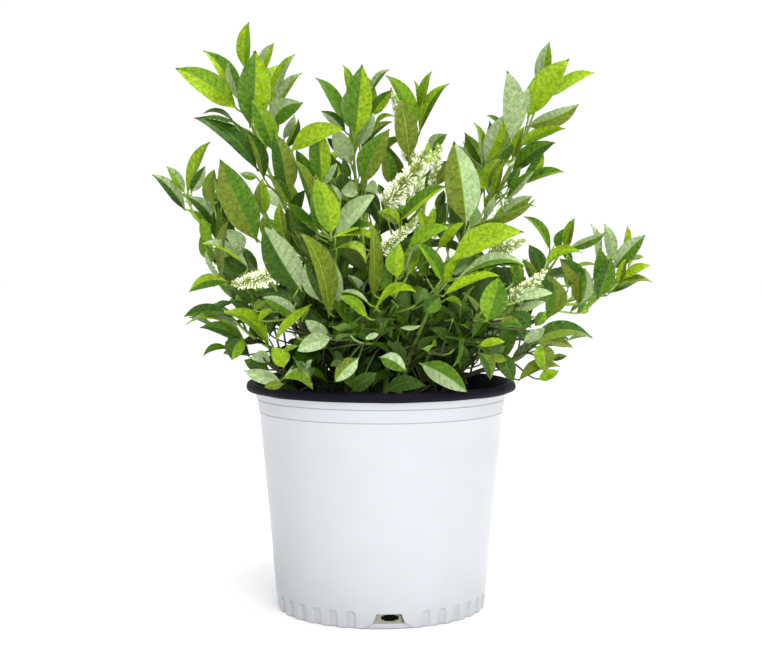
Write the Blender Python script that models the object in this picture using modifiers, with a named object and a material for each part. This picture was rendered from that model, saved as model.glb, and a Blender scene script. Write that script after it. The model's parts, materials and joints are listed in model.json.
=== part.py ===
"""Potted Virginia sweetspire: a round nursery pot full of soil, with a shrub of arching canes.

Each cane carries one mass of foliage, made of a stem with forks, twigs, leaves and flower spikes.
Metres, +Z up. The origin is the middle of the pot's flat underside, and -Y is the front.
"""
import itertools
import math
import random
from collections import namedtuple

import bmesh
import bpy
from mathutils import Matrix, Vector
from mathutils.bvhtree import BVHTree

UP = Vector((0, 0, 1))
FRONT = Vector((0, -1, 0))
GAP = 0.0003
SHARP_ANGLE = math.radians(40)

# The photograph's view: its focal length and its middle in pixels, where it is taken from, its pitch
FOCAL_PIXELS = 1480
PICTURE_MIDDLE = (381, 322.5)
VIEW_FROM = Vector((0, -1.536, 0.376))
VIEW_PITCH = math.radians(-3.04)

# Pot: a common three-gallon container, 11 in across its rim and about 9 in tall
POT_HEIGHT = 0.2344
RIM_RADIUS = 0.140
FOOT_RADIUS = 0.108
WALL_TOP_RADIUS = 0.1262
WALL_TOP = 0.204
COLLAR_MID = 0.2172
COLLAR_TOP = 0.2248
COLLAR_EDGE = 0.0004
COLLAR_OUT = 0.0032
RIM_ROUND = 0.0022
RIM_WIDTH = 0.0112
RIM_TAPER = 0.0015
COLLAR_STEP = 0.0008
WALL = 0.0016
FLOOR = 0.0025
FOOT_WALL = 0.0036
FOOT_WALL_TOP = 0.022
FOOT_WALL_TAPER = 0.003
POT_STEPS = 40

# Moulded flutes round the foot, and the drains that take the place of three flutes each
FLUTE_PITCH = math.radians(10)
FLUTES_PER_QUARTER = 9
FLUTE_WIDTH = 0.010
FLUTE_HEIGHT = 0.017
FLUTE_DEPTH = 0.0014
DRAIN_TURN = math.radians(-86)
DRAIN_FOOT_WIDTH = 0.050
DRAIN_SILL_WIDTH = 0.031
DRAIN_SILL = 0.0055
DRAIN_TOP_WIDTH = 0.024
DRAIN_HEIGHT = 0.0147
DRAIN_INNER_RADIUS = 0.100
CUTTER_SPARE = 0.004
CUTTER_BELOW = 0.002
FLUTE_CUTTER_DEPTH = 0.008

SOIL_TOP = 0.206
SOIL_GAP = 0.0004

# Canes: a foot starts towards its tip, further out for a low tip, and is pushed this far from others
FOOT_LEAN = 0.090
FOOT_SPACING = 0.013
FOOT_PUSHES = 60
CANE_RADIUS = 0.0032
FORK_RADIUS = 0.0016
TWIG_RADIUS = 0.0013
TIP_RADIUS = 0.0008
FLARE = 0.0014
FLARE_HEIGHT = 0.007
FLARE_FADE = 2.5
CANE_SIDES = 5
TWIG_SIDES = 3
STEM_STEPS = 8
TWIG_STEPS = 3
LEAD_TWIG_STEPS = 2

# How far a line leaves its root and reaches its tip upright, as shares, and the length of its handles
CANE_RISE, CANE_LIFT = 0.55, 0.35
FORK_RISE, FORK_LIFT = 0.10, 0.40
TWIG_RISE, TWIG_LIFT = 0.0, 0.40
LEAD_RISE, LEAD_LIFT = 0.3, 0.3
SPIKE_LIFT = 0.25
ROOT_HANDLE, TIP_HANDLE = 0.38, 0.34
HEADING_STEP = 0.004
LEAST_SPAN = 0.002

# Leaves stand round a stem at the golden angle, close together at its tip and then evenly
GOLDEN = math.radians(137.5)
FIRST_SPACE = 0.003
SPACE_GROWTH = 0.0022
MOST_SPACE = 0.022
FULL_GROWN = 6
LEAF_STRAY = 0.3
LEAF_LEAN = (15, 60)
LEAN_STRAY = 10
LEANT = 8
LEAF_RISE = 0.15
FACE_AHEAD, FACE_UP, FACE_OUT = 0.6, 0.8, -0.4
LEAF_ROLL = 30
YOUNG_SIZE = 0.6
LEAF_LENGTHS = (0.85, 1.12)
LEAF_WIDTHS = (0.35, 0.44)
LEAF_DROOP = (8, 60)
LEAF_THICKNESS = 0.0011
LEAF_MIDDLE = 0.48
LEAF_SHOULDER = 0.40
FOOT_HALF, TIP_HALF = 0.44, 0.41

# Twigs of the rule, by their share of the leafy stretch, their reach and their direction
TWIG_PLACES = (0.35, 0.95)
TWIG_REACH = (0.045, 0.090)
TWIG_AHEAD, TWIG_OUT, TWIG_UP = 0.7, 0.9, 0.3
TWIG_LEAFY = 0.8
TWIG_LEAF_SHARE = 0.8
LEAF_ROOT_SHARE = 0.22
OWN_SPACE = 0.018
CLEARANCE = 0.0002
MERGE_DISTANCE = 1e-5

# A leading leaf is arched, leans forward by a share of its length, and is turned where it looks narrow
LEAD_BEND = math.radians(24)
LEAD_FORWARD = 0.25
LEAD_SHARE = 0.36
LEAST_SHOWN = 0.35
LEAD_SEAT = 0.08
LEAD_SPOTS = 30
LEAST_TWIG = 0.008

# The other leaves keep near to the leading ones, closest high up, where the crown is airy
EDGE_HIGH = 0.008
EDGE_LOW = 0.024
AIRY_HEIGHT = 0.40
DENSE_HEIGHT = 0.31

LEAF_GREEN = (0.16, 0.33, 0.035)
CANE_BROWN = (0.16, 0.10, 0.045)
SOIL_BROWN = (0.030, 0.020, 0.014)
POT_WHITE = (0.80, 0.81, 0.84)

# A shoot without a parent is a cane from the soil. A fork leaves its parent this far below the tip.
Shoot = namedtuple("Shoot", "name parent back tip bare twigs leaf")
SHOOTS = (
    Shoot("left_tall", None, 0, (-0.140, -0.030, 0.530), 0.35, 0, 0.085),
    Shoot("left_tall_fork", "left_tall", 0.150, (-0.115, -0.015, 0.530), 0.10, 0, 0.075),
    Shoot("left_arm", None, 0, (-0.200, -0.020, 0.425), 0.40, 1, 0.062),
    Shoot("left_arm_fork", "left_arm", 0.130, (-0.160, -0.060, 0.340), 0.20, 0, 0.060),
    Shoot("middle_tall", None, 0, (-0.030, -0.030, 0.500), 0.35, 1, 0.076),
    Shoot("middle_tall_fork", "middle_tall", 0.120, (-0.010, 0.020, 0.515), 0.10, 0, 0.060),
    Shoot("middle_right", None, 0, (0.035, -0.010, 0.505), 0.38, 1, 0.070),
    Shoot("middle_right_fork", "middle_right", 0.120, (0.070, -0.030, 0.465), 0.10, 0, 0.070),
    Shoot("right_tall", None, 0, (0.165, 0.000, 0.535), 0.38, 0, 0.070),
    Shoot("right_tall_fork", "right_tall", 0.120, (0.125, -0.035, 0.480), 0.10, 0, 0.066),
    Shoot("right_arm", None, 0, (0.185, -0.020, 0.370), 0.45, 1, 0.055),
    Shoot("far_right", None, 0, (0.235, 0.015, 0.355), 0.50, 1, 0.055),
    Shoot("far_right_fork", "far_right", 0.060, (0.240, -0.030, 0.335), 0.10, 0, 0.055),
    Shoot("right_low", None, 0, (0.160, -0.080, 0.285), 0.40, 1, 0.060),
    Shoot("left_low", None, 0, (-0.155, -0.050, 0.310), 0.40, 1, 0.060),
    Shoot("left_rim", None, 0, (-0.115, -0.095, 0.265), 0.40, 1, 0.055),
    Shoot("front_left", None, 0, (-0.110, -0.105, 0.350), 0.40, 1, 0.070),
    Shoot("front_left_mid", None, 0, (-0.050, -0.090, 0.390), 0.35, 1, 0.078),
    Shoot("front_mid", None, 0, (-0.020, -0.070, 0.410), 0.35, 1, 0.074),
    Shoot("front", None, 0, (0.015, -0.125, 0.355), 0.35, 1, 0.070),
    Shoot("front_right_mid", None, 0, (0.065, -0.115, 0.370), 0.35, 1, 0.074),
    Shoot("front_right", None, 0, (0.110, -0.110, 0.335), 0.35, 1, 0.070),
    Shoot("front_fork", "front", 0.100, (-0.030, -0.125, 0.290), 0.10, 0, 0.066),
    Shoot("front_right_mid_fork", "front_right_mid", 0.120, (0.070, -0.120, 0.275), 0.10, 0, 0.066),
    Shoot("front_left_mid_fork", "front_left_mid", 0.120, (-0.085, -0.115, 0.290), 0.10, 0, 0.066),
    Shoot("back_left", None, 0, (-0.165, 0.080, 0.400), 0.38, 4, 0.076),
    Shoot("back_left_tall", None, 0, (-0.085, 0.110, 0.450), 0.38, 3, 0.080),
    Shoot("back", None, 0, (-0.005, 0.160, 0.420), 0.38, 4, 0.080),
    Shoot("back_tall", None, 0, (0.055, 0.085, 0.470), 0.38, 4, 0.078),
    Shoot("back_right_tall", None, 0, (0.115, 0.130, 0.445), 0.38, 3, 0.080),
    Shoot("back_right", None, 0, (0.190, 0.085, 0.375), 0.40, 4, 0.066),
    Shoot("back_left_tall_fork", "back_left_tall", 0.140, (-0.115, 0.170, 0.330), 0.10, 1, 0.076),
    Shoot("back_fork", "back", 0.140, (0.035, 0.200, 0.320), 0.10, 1, 0.076),
    Shoot("back_right_tall_fork", "back_right_tall", 0.140, (0.140, 0.170, 0.310), 0.10, 1, 0.076),
)


def seen_at(point, depth):
    """The real place of a point of the photograph, in pixels, that lies at a given Y."""
    beside = (point[0] - PICTURE_MIDDLE[0]) / FOCAL_PIXELS
    above = (PICTURE_MIDDLE[1] - point[1]) / FOCAL_PIXELS
    sight = Matrix.Rotation(VIEW_PITCH, 3, "X") @ Vector((beside, 1, above))
    return VIEW_FROM + sight * (depth - VIEW_FROM.y) / sight.y


# A flower spike leaves its shoot this far below the tip. The front ones end where the photograph has them.
Raceme = namedtuple("Raceme", "shoot back tip radius")
RACEMES = (
    Raceme("middle_right", 0.110, seen_at((436, 149), -0.060), 0.0115),
    Raceme("middle_right", 0.150, seen_at((400, 182), -0.075), 0.0100),
    Raceme("middle_right", 0.030, seen_at((392, 91), -0.005), 0.0045),
    Raceme("front_mid", 0.040, seen_at((418, 212), -0.100), 0.0070),
    Raceme("front_left", 0.010, seen_at((233, 282), -0.135), 0.0100),
    Raceme("right_tall", 0.200, seen_at((524, 241), -0.080), 0.0055),
    Raceme("right_arm", 0.090, seen_at((545, 271), -0.070), 0.0090),
    Raceme("back_tall", 0.060, Vector((0.035, 0.130, 0.480)), 0.0080),
    Raceme("back_left_tall", 0.050, Vector((-0.105, 0.160, 0.445)), 0.0090),
    Raceme("back_right_tall", 0.050, Vector((0.150, 0.160, 0.435)), 0.0080),
)

# Leading leaves, read by eye in the photograph: base, middle and tip in its pixels, then the base's
# depth and the width as it is seen, in metres. A fine twig from its shoot carries each.
Lead = namedtuple("Lead", "shoot base middle tip depth width")
LEADS = (
    Lead("left_tall", (245, 70), (244, 47), (248, 22), -0.030, 0.015),
    Lead("left_tall", (238, 110), (209, 85), (176, 68), -0.040, 0.024),
    Lead("left_tall", (241, 104), (226, 74), (204, 50), -0.025, 0.018),
    Lead("left_tall", (250, 128), (255, 89), (255, 51), -0.060, 0.033),
    Lead("left_tall", (288, 195), (268, 142), (251, 98), -0.070, 0.026),
    Lead("left_tall", (258, 172), (228, 140), (195, 116), -0.050, 0.030),
    Lead("left_tall", (258, 243), (238, 200), (220, 160), -0.080, 0.033),
    Lead("left_tall_fork", (264, 72), (265, 58), (274, 43), -0.020, 0.012),
    Lead("left_tall_fork", (270, 95), (282, 72), (294, 54), -0.025, 0.012),
    Lead("left_tall_fork", (271, 116), (285, 91), (301, 72), -0.030, 0.013),
    Lead("left_tall_fork", (272, 130), (288, 109), (302, 104), -0.040, 0.020),
    Lead("left_tall_fork", (289, 153), (313, 134), (343, 129), -0.070, 0.020),
    Lead("left_arm", (187, 195), (190, 167), (209, 141), -0.020, 0.014),
    Lead("left_arm", (186, 212), (168, 191), (153, 174), -0.020, 0.011),
    Lead("left_arm", (190, 193), (199, 180), (205, 166), -0.030, 0.012),
    Lead("left_arm", (217, 230), (203, 206), (187, 196), -0.035, 0.015),
    Lead("left_arm_fork", (243, 252), (238, 240), (227, 229), -0.065, 0.016),
    Lead("left_arm_fork", (229, 282), (207, 281), (189, 292), -0.065, 0.014),
    Lead("left_low", (228, 314), (205, 314), (184, 323), -0.060, 0.010),
    Lead("left_low", (243, 338), (234, 348), (232, 360), -0.075, 0.020),
    Lead("left_low", (270, 349), (250, 321), (222, 312), -0.085, 0.015),
    Lead("left_rim", (284, 368), (281, 356), (272, 347), -0.105, 0.017),
    Lead("left_rim", (281, 381), (259, 374), (243, 372), -0.095, 0.015),
    Lead("left_rim", (281, 381), (298, 372), (313, 391), -0.100, 0.016),
    Lead("front_left", (300, 289), (287, 253), (263, 226), -0.105, 0.022),
    Lead("front_left_mid", (329, 318), (321, 268), (302, 232), -0.125, 0.020),
    Lead("front_left_mid", (321, 302), (310, 282), (305, 263), -0.110, 0.014),
    Lead("front_left_mid", (329, 316), (333, 293), (334, 262), -0.110, 0.014),
    Lead("front_left_mid", (331, 236), (327, 206), (315, 178), -0.120, 0.024),
    Lead("front_left_mid", (334, 236), (354, 211), (375, 194), -0.110, 0.018),
    Lead("middle_tall", (321, 182), (320, 155), (317, 127), -0.060, 0.022),
    Lead("middle_tall", (355, 137), (359, 98), (362, 65), -0.060, 0.028),
    Lead("middle_tall", (347, 126), (333, 100), (317, 77), -0.035, 0.013),
    Lead("middle_tall", (350, 160), (338, 133), (321, 111), -0.045, 0.017),
    Lead("middle_tall", (362, 186), (371, 160), (389, 129), -0.070, 0.022),
    Lead("middle_tall_fork", (370, 117), (380, 103), (392, 90), -0.015, 0.014),
    Lead("middle_right", (415, 132), (404, 98), (387, 75), -0.030, 0.017),
    Lead("middle_right", (409, 160), (406, 128), (400, 98), -0.060, 0.023),
    Lead("middle_right", (419, 136), (430, 103), (448, 83), -0.030, 0.012),
    Lead("middle_right", (420, 112), (424, 92), (431, 71), -0.020, 0.010),
    Lead("middle_right", (391, 187), (389, 168), (385, 149), -0.050, 0.015),
    Lead("middle_right", (398, 222), (424, 199), (447, 185), -0.080, 0.014),
    Lead("middle_right_fork", (432, 153), (434, 143), (447, 134), -0.020, 0.014),
    Lead("middle_right_fork", (466, 226), (462, 185), (454, 142), -0.090, 0.034),
    Lead("front_mid", (406, 251), (424, 235), (450, 227), -0.115, 0.014),
    Lead("front_right_mid", (450, 262), (484, 239), (523, 231), -0.130, 0.023),
    Lead("front_right_mid", (440, 296), (433, 303), (424, 312), -0.125, 0.018),
    Lead("right_tall", (540, 90), (544, 62), (549, 42), 0.000, 0.016),
    Lead("right_tall", (527, 119), (543, 88), (569, 59), -0.030, 0.026),
    Lead("right_tall", (547, 99), (570, 81), (594, 72), -0.005, 0.013),
    Lead("right_tall", (526, 127), (552, 118), (579, 105), -0.030, 0.017),
    Lead("right_tall", (514, 166), (535, 152), (555, 142), -0.030, 0.014),
    Lead("right_tall", (518, 186), (545, 174), (564, 171), -0.035, 0.010),
    Lead("right_tall_fork", (511, 142), (513, 107), (508, 71), -0.045, 0.024),
    Lead("right_tall_fork", (485, 166), (496, 140), (506, 113), -0.040, 0.014),
    Lead("right_arm", (568, 250), (586, 242), (606, 233), -0.025, 0.011),
    Lead("right_arm", (540, 275), (537, 258), (529, 245), -0.055, 0.016),
    Lead("right_arm", (547, 321), (555, 301), (556, 279), -0.045, 0.022),
    Lead("right_arm", (584, 284), (572, 270), (560, 259), -0.040, 0.016),
    Lead("right_arm", (580, 305), (588, 285), (587, 266), -0.035, 0.014),
    Lead("far_right", (612, 262), (610, 243), (605, 224), 0.005, 0.014),
    Lead("far_right_fork", (613, 270), (627, 252), (645, 235), -0.020, 0.017),
    Lead("far_right_fork", (622, 280), (634, 270), (650, 265), -0.020, 0.009),
    Lead("far_right_fork", (597, 290), (601, 266), (600, 248), -0.030, 0.016),
    Lead("far_right_fork", (597, 299), (604, 280), (611, 258), -0.040, 0.020),
    Lead("front_right", (487, 322), (494, 300), (499, 277), -0.130, 0.026),
    Lead("front_right", (531, 328), (521, 317), (510, 312), -0.105, 0.016),
    Lead("right_low", (530, 346), (563, 331), (593, 338), -0.100, 0.017),
    Lead("right_low", (541, 342), (544, 356), (545, 372), -0.105, 0.021),
    Lead("right_low", (517, 383), (535, 368), (560, 366), -0.105, 0.010),
    Lead("front", (374, 300), (374, 252), (372, 222), -0.120, 0.015),
    Lead("front", (398, 279), (395, 259), (400, 243), -0.130, 0.018),
    Lead("front_fork", (332, 337), (313, 344), (297, 351), -0.130, 0.016),
    Lead("front_fork", (359, 358), (346, 368), (335, 382), -0.125, 0.016),
)

Leaf = namedtuple("Leaf", "root along face length width droop bow")


class Line:
    """A smooth stem line, measured back from its tip."""

    def __init__(self, root, tip, rise, lift, steps=STEM_STEPS):
        chord = (tip - root).normalized()
        size = (tip - root).length
        leave = chord.lerp(UP, rise).normalized()
        arrive = chord.lerp(UP, lift).normalized()
        handles = root + leave * size * ROOT_HANDLE, tip - arrive * size * TIP_HANDLE
        self.points = [bezier(root, *handles, tip, i / steps) for i in range(steps + 1)]
        spans = ((b - a).length for a, b in zip(self.points, self.points[1:]))
        self.at = [0.0, *itertools.accumulate(spans)]
        self.length = self.at[-1]

    def point(self, back):
        distance = min(max(self.length - back, 0.0), self.length)
        i = next(i for i in range(1, len(self.at)) if distance <= self.at[i] + 1e-9)
        share = (distance - self.at[i - 1]) / (self.at[i] - self.at[i - 1])
        return self.points[i - 1].lerp(self.points[i], share)

    def heading(self, back):
        return (self.point(back - HEADING_STEP) - self.point(back + HEADING_STEP)).normalized()

    def stretch(self, back):
        """The line's points from a distance back of the tip up to the tip."""
        start = self.length - back
        ahead = [p for p, at in zip(self.points, self.at) if at > start + LEAST_SPAN]
        return [self.point(back), *ahead]

    def foot_stretch(self, back):
        """The line's points from its root up to a distance back of the tip."""
        end = self.length - back
        before = [p for p, at in zip(self.points, self.at) if at < end - LEAST_SPAN]
        return [*before, self.point(back)]


def bezier(a, b, c, d, t):
    s = 1 - t
    return a * s**3 + b * (3 * s * s * t) + c * (3 * s * t * t) + d * t**3


def feet_of(canes):
    """Where each cane leaves the soil: towards its own tip, and no closer than the spacing."""
    feet = {cane.name: Vector(cane.tip[:2]) * FOOT_LEAN / cane.tip[2] for cane in canes}
    for _ in range(FOOT_PUSHES):
        for a, b in itertools.combinations(feet, 2):
            apart = feet[b] - feet[a]
            short = FOOT_SPACING - apart.length
            if short > 0:
                push = apart.normalized() * short / 2
                feet[a] -= push
                feet[b] += push
    return feet


def lines_of(shoots):
    feet = feet_of([shoot for shoot in shoots if shoot.parent is None])
    lines = {}
    for shoot in shoots:
        tip = Vector(shoot.tip)
        if shoot.parent is None:
            root = feet[shoot.name].to_3d() + UP * (SOIL_TOP + GAP)
            lines[shoot.name] = Line(root, tip, CANE_RISE, CANE_LIFT)
        else:
            root = lines[shoot.parent].point(shoot.back)
            lines[shoot.name] = Line(root, tip, FORK_RISE, FORK_LIFT)
    return lines


def across(axis, turn):
    """A direction square to the axis, turned round it."""
    side = (Vector((1, 0, 0)) - axis * axis.x).normalized() if abs(axis.x) < 0.9 else axis.orthogonal()
    return side * math.cos(turn) + axis.cross(side) * math.sin(turn)


def leaf_on(line, back, count, phase, size, rng):
    """The leaf at a distance back of the tip, counted from the tip down."""
    axis = line.heading(back)
    out = across(axis, phase + count * GOLDEN + rng.uniform(-LEAF_STRAY, LEAF_STRAY))
    grown = min(1.0, (count + 2) / FULL_GROWN)
    least, most = LEAF_LEAN
    lean = least + (most - least) * min(1.0, count / LEANT) + rng.uniform(-LEAN_STRAY, LEAN_STRAY)
    lean = math.radians(lean)
    along = (axis * math.cos(lean) + out * math.sin(lean) + UP * LEAF_RISE).normalized()
    face = axis * FACE_AHEAD + UP * FACE_UP + out * FACE_OUT
    face = (face - along * face.dot(along)).normalized()
    face = Matrix.Rotation(math.radians(rng.uniform(-LEAF_ROLL, LEAF_ROLL)), 3, along) @ face
    length = size * (YOUNG_SIZE + (1 - YOUNG_SIZE) * grown) * rng.uniform(*LEAF_LENGTHS)
    width = length * rng.uniform(*LEAF_WIDTHS)
    droop = math.radians(rng.uniform(*LEAF_DROOP)) * grown
    return Leaf(line.point(back), along, face, length, width, droop, 0.0)


def leaf_places(room):
    """The number of each leaf and its distance back of the tip, over the leafy stretch."""
    back = FIRST_SPACE
    for count in itertools.count():
        if back > room:
            return
        yield count, back
        back += min(FIRST_SPACE + SPACE_GROWTH * (count + 1), MOST_SPACE)


def foliage_of(shoot, line):
    """The leaves that stand on a shoot's own line, and its twigs, each with the leaves on it."""
    rng = random.Random(shoot.name)
    room = line.length * (1 - shoot.bare)
    phase = rng.uniform(0, 2 * math.pi)
    leaves = [leaf_on(line, back, count, phase, shoot.leaf, rng) for count, back in leaf_places(room)]
    twigs = []
    for _ in range(shoot.twigs):
        back = rng.uniform(*TWIG_PLACES) * room
        axis = line.heading(back)
        out = across(axis, rng.uniform(0, 2 * math.pi))
        reach = rng.uniform(*TWIG_REACH)
        root = line.point(back)
        tip = root + (axis * TWIG_AHEAD + out * TWIG_OUT + UP * TWIG_UP).normalized() * reach
        twig = Line(root, tip, TWIG_RISE, TWIG_LIFT, TWIG_STEPS)
        turn = rng.uniform(0, 2 * math.pi)
        size = shoot.leaf * TWIG_LEAF_SHARE
        twigs.append((twig, [leaf_on(twig, back, count, turn, size, rng)
                             for count, back in leaf_places(reach * TWIG_LEAFY)]))
    return leaves, twigs


def on_leaf(leaf, share, aside=0.0, lift=0.0):
    """A point of the leaf: a share of its length along its arch, a step aside, and one off its face."""
    bend = leaf.droop
    along = (share - bend**2 * share**5 / 10) * leaf.length
    fall = (bend * share**3 / 3 - bend**3 * share**7 / 42) * leaf.length
    side = leaf.along.cross(leaf.face)
    aside += 4 * leaf.bow * share * (1 - share)
    return leaf.root + leaf.along * along + leaf.face * (lift - fall) + side * aside


def lead_leaf(lead):
    """The leaf whose base, middle and tip stand where a lead has them, arched over."""
    base = seen_at(lead.base, lead.depth)
    forward = (seen_at(lead.tip, lead.depth) - base).length * LEAD_FORWARD
    chord = seen_at(lead.tip, lead.depth - forward) - base
    middle = seen_at(lead.middle, lead.depth - forward / 2) - base
    run = 1 - LEAD_BEND**2 / 10
    fall = LEAD_BEND / 3 - LEAD_BEND**3 / 42
    length = chord.length / math.hypot(run, fall)
    ahead = chord.normalized()
    face = (FRONT - ahead * FRONT.dot(ahead)).normalized()
    bow = middle.dot(ahead.cross(face))
    shown = min(1.0, max(LEAST_SHOWN, lead.width / (length * LEAD_SHARE)))
    turn = math.copysign(math.acos(shown), bow)
    bow = (bow - length * LEAD_BEND / 8 * math.sin(turn)) / shown
    face = Matrix.Rotation(turn, 3, ahead) @ face
    dip = math.atan2(fall, run)
    along = ahead * math.cos(dip) + face * math.sin(dip)
    upper = face * math.cos(dip) - ahead * math.sin(dip)
    return Leaf(base, along, upper, length, lead.width / shown, LEAD_BEND, bow)


def lead_twig(leaf, shoot, line):
    """The fine twig that carries a leading leaf, leaving the shoot a little below it."""
    room = line.length * (1 - shoot.bare)
    seat = on_leaf(leaf, LEAD_SEAT)
    near = min((room * i / LEAD_SPOTS for i in range(LEAD_SPOTS + 1)),
               key=lambda back: (line.point(back) - seat).length)
    gap = (line.point(near) - seat).length
    root = line.point(min(near + max(0.8 * gap, LEAST_TWIG), room))
    return Line(root, seat, LEAD_RISE, LEAD_LIFT, LEAD_TWIG_STEPS)


def in_picture(place):
    """Where the photograph shows a place, as a slope to the side and a slope upwards."""
    sight = Matrix.Rotation(-VIEW_PITCH, 3, "X") @ (place - VIEW_FROM)
    return sight.x / sight.y, sight.z / sight.y


def crown_of(leads):
    """Places all along the leading leaves, as the photograph shows them."""
    return [in_picture(on_leaf(leaf, i / 6)) for leaf in leads for i in range(7)]


def in_crown(leaf, crown):
    """True where a leaf stays, as seen from the front, near enough to the leading leaves."""
    for share in (0.6, 1.0):
        spot = on_leaf(leaf, share)
        beside, above = in_picture(spot)
        airy = min(1.0, max(0.0, (spot.z - DENSE_HEIGHT) / (AIRY_HEIGHT - DENSE_HEIGHT)))
        most = (EDGE_LOW + (EDGE_HIGH - EDGE_LOW) * airy) / -VIEW_FROM.y
        if all(math.hypot(beside - x, above - y) > most for x, y in crown):
            return False
    return True


def leaf_mesh(leaf, margin=0.0, start=0.0):
    """A six-cornered blade that is thickest in its middle, from a sphere of two rings."""
    bm = bmesh.new()
    bmesh.ops.create_uvsphere(bm, u_segments=6, v_segments=2, radius=1)
    for vert in bm.verts:
        x, y, z = vert.co
        reach = 1 - LEAF_MIDDLE if abs(x) < 0.1 else LEAF_SHOULDER
        share = max(start, LEAF_MIDDLE + reach * y)
        half = (FOOT_HALF if y < 0 else TIP_HALF) * leaf.width + margin
        lift = z * (LEAF_THICKNESS / 2 + margin)
        vert.co = on_leaf(leaf, share, math.copysign(half, x) if abs(x) > 0.1 else 0.0, lift)
    return bm


def tube_mesh(points, radii, sides, level_foot=False):
    """A tube grown from a disc by extruding its end face from each point to the next."""
    bm = bmesh.new()
    bmesh.ops.create_circle(bm, cap_ends=True, segments=sides, radius=1)
    end = bm.faces[:][0]
    headings = [(b - a).normalized() for a, b in zip(points, points[1:])]
    headings = [UP if level_foot else headings[0]] + [
        (a + b).normalized() for a, b in zip(headings, headings[1:])] + [headings[-1]]
    turn = UP.rotation_difference(headings[0])
    placed = Matrix.LocRotScale(points[0], turn, Vector((radii[0],) * 3))
    bmesh.ops.transform(bm, matrix=placed, verts=bm.verts)
    for i in range(1, len(points)):
        turn = headings[i - 1].rotation_difference(headings[i]) @ turn
        following = Matrix.LocRotScale(points[i], turn, Vector((radii[i],) * 3))
        grown = bmesh.ops.extrude_face_region(bm, geom=[end])["geom"]
        verts = [g for g in grown if isinstance(g, bmesh.types.BMVert)]
        bmesh.ops.transform(bm, matrix=following @ placed.inverted(), verts=verts)
        if i > 1:
            bmesh.ops.delete(bm, geom=[end], context="FACES_ONLY")
        end = next(g for g in grown if isinstance(g, bmesh.types.BMFace))
        placed = following
    bmesh.ops.recalc_face_normals(bm, faces=bm.faces)
    return bm


def stem_radius(line, back, foot_radius):
    return TIP_RADIUS + (foot_radius - TIP_RADIUS) * back / line.length


def cane_mesh(line, room):
    """The bare lower part of a cane: flat on the soil, flared, then tapering to the leafy part."""
    points = line.foot_stretch(room)
    points.insert(1, line.point(line.length - FLARE_HEIGHT))
    radii = []
    for point in points:
        height = (point - points[0]).length
        radii.append(stem_radius(line, line.length - height, CANE_RADIUS)
                     + FLARE * math.exp(-FLARE_FADE * height / FLARE_HEIGHT))
    return tube_mesh(points, radii, CANE_SIDES, level_foot=True)


def shoot_mesh(line, room, foot_radius, margin=0.0):
    """The leafy part of a shoot as a three-sided stem."""
    points = line.stretch(room)
    shares = (1 - i / (len(points) - 1) for i in range(len(points)))
    radii = [stem_radius(line, room * share, foot_radius) + margin for share in shares]
    return tube_mesh(points, radii, TWIG_SIDES)


def raceme_mesh(root, tip, radius, margin=0.0):
    """A flower spike: a bare stalk, then a knobbly spike that thins to its tip."""
    shares = (0.0, 0.16, 0.24, 0.45, 0.66, 0.85, 1.0)
    sizes = (0.12, 0.12, 0.85, 1.0, 0.80, 0.66, 0.22)
    line = Line(root, tip, TWIG_RISE, SPIKE_LIFT)
    points = [line.point(line.length * (1 - share)) for share in shares]
    return tube_mesh(points, [size * radius + margin for size in sizes], sides=5)


class Placed:
    """What stands already, each solid under its owner's name, to keep the rest clear of it."""

    def __init__(self):
        self.solids = []

    def box_and_tree(self, bm):
        low = Vector([min(v.co[i] for v in bm.verts) for i in range(3)])
        high = Vector([max(v.co[i] for v in bm.verts) for i in range(3)])
        return low, high, BVHTree.FromBMesh(bm)

    def add(self, owner, bm):
        self.solids.append((owner, *self.box_and_tree(bm)))

    def is_clear(self, owner, bm):
        """True where the solid meets none of the solids of other owners."""
        low, high, tree = self.box_and_tree(bm)
        for other, other_low, other_high, other_tree in self.solids:
            apart = any(low[i] > other_high[i] or high[i] < other_low[i] for i in range(3))
            if other != owner and not apart and tree.overlap(other_tree):
                return False
        return True


class Mass:
    """The foliage on one cane: the shoots that belong to it, and the pieces that found room."""

    def __init__(self, cane, lines):
        self.name = cane.name
        self.line = lines[cane.name]
        self.room = self.line.length * (1 - cane.bare)
        self.shoots = [shoot for shoot in SHOOTS if cane.name in (shoot.name, shoot.parent)]
        self.points = self.line.stretch(self.room)
        for shoot in self.shoots[1:]:
            self.points += lines[shoot.name].points
        self.blades = Placed()
        self.pieces = []

    def nearest(self, point):
        return min((point - own).length for own in self.points)

    def take(self, make, placed):
        """Adds what make draws if it is clear of the other masses and the limbs with a margin."""
        wide = make(CLEARANCE)
        if not placed.is_clear(self.name, wide):
            wide.free()
            return False
        placed.add(self.name, wide)
        wide.free()
        self.pieces.append(make(0.0))
        return True

    def take_leaf(self, leaf, placed, masses):
        """Adds a leaf whose middle is in this mass's space and whose blade crosses no other."""
        middle = on_leaf(leaf, 0.5)
        neighbour = min(mass.nearest(middle) for mass in masses if mass is not self)
        blade = leaf_mesh(leaf, CLEARANCE, LEAF_ROOT_SHARE)
        if self.nearest(middle) < neighbour + OWN_SPACE and self.blades.is_clear(leaf, blade):
            if self.take(lambda margin: leaf_mesh(leaf, margin), placed):
                self.blades.add(leaf, blade)
        blade.free()


def material(name, colour, roughness):
    made = bpy.data.materials.new(name)
    made.use_nodes = True
    shader = made.node_tree.nodes["Principled BSDF"]
    shader.inputs["Base Color"].default_value = (*colour, 1)
    shader.inputs["Roughness"].default_value = roughness
    return made


def smooth(mesh):
    mesh.shade_smooth()
    mesh.set_sharp_from_angle(angle=SHARP_ANGLE)


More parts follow.
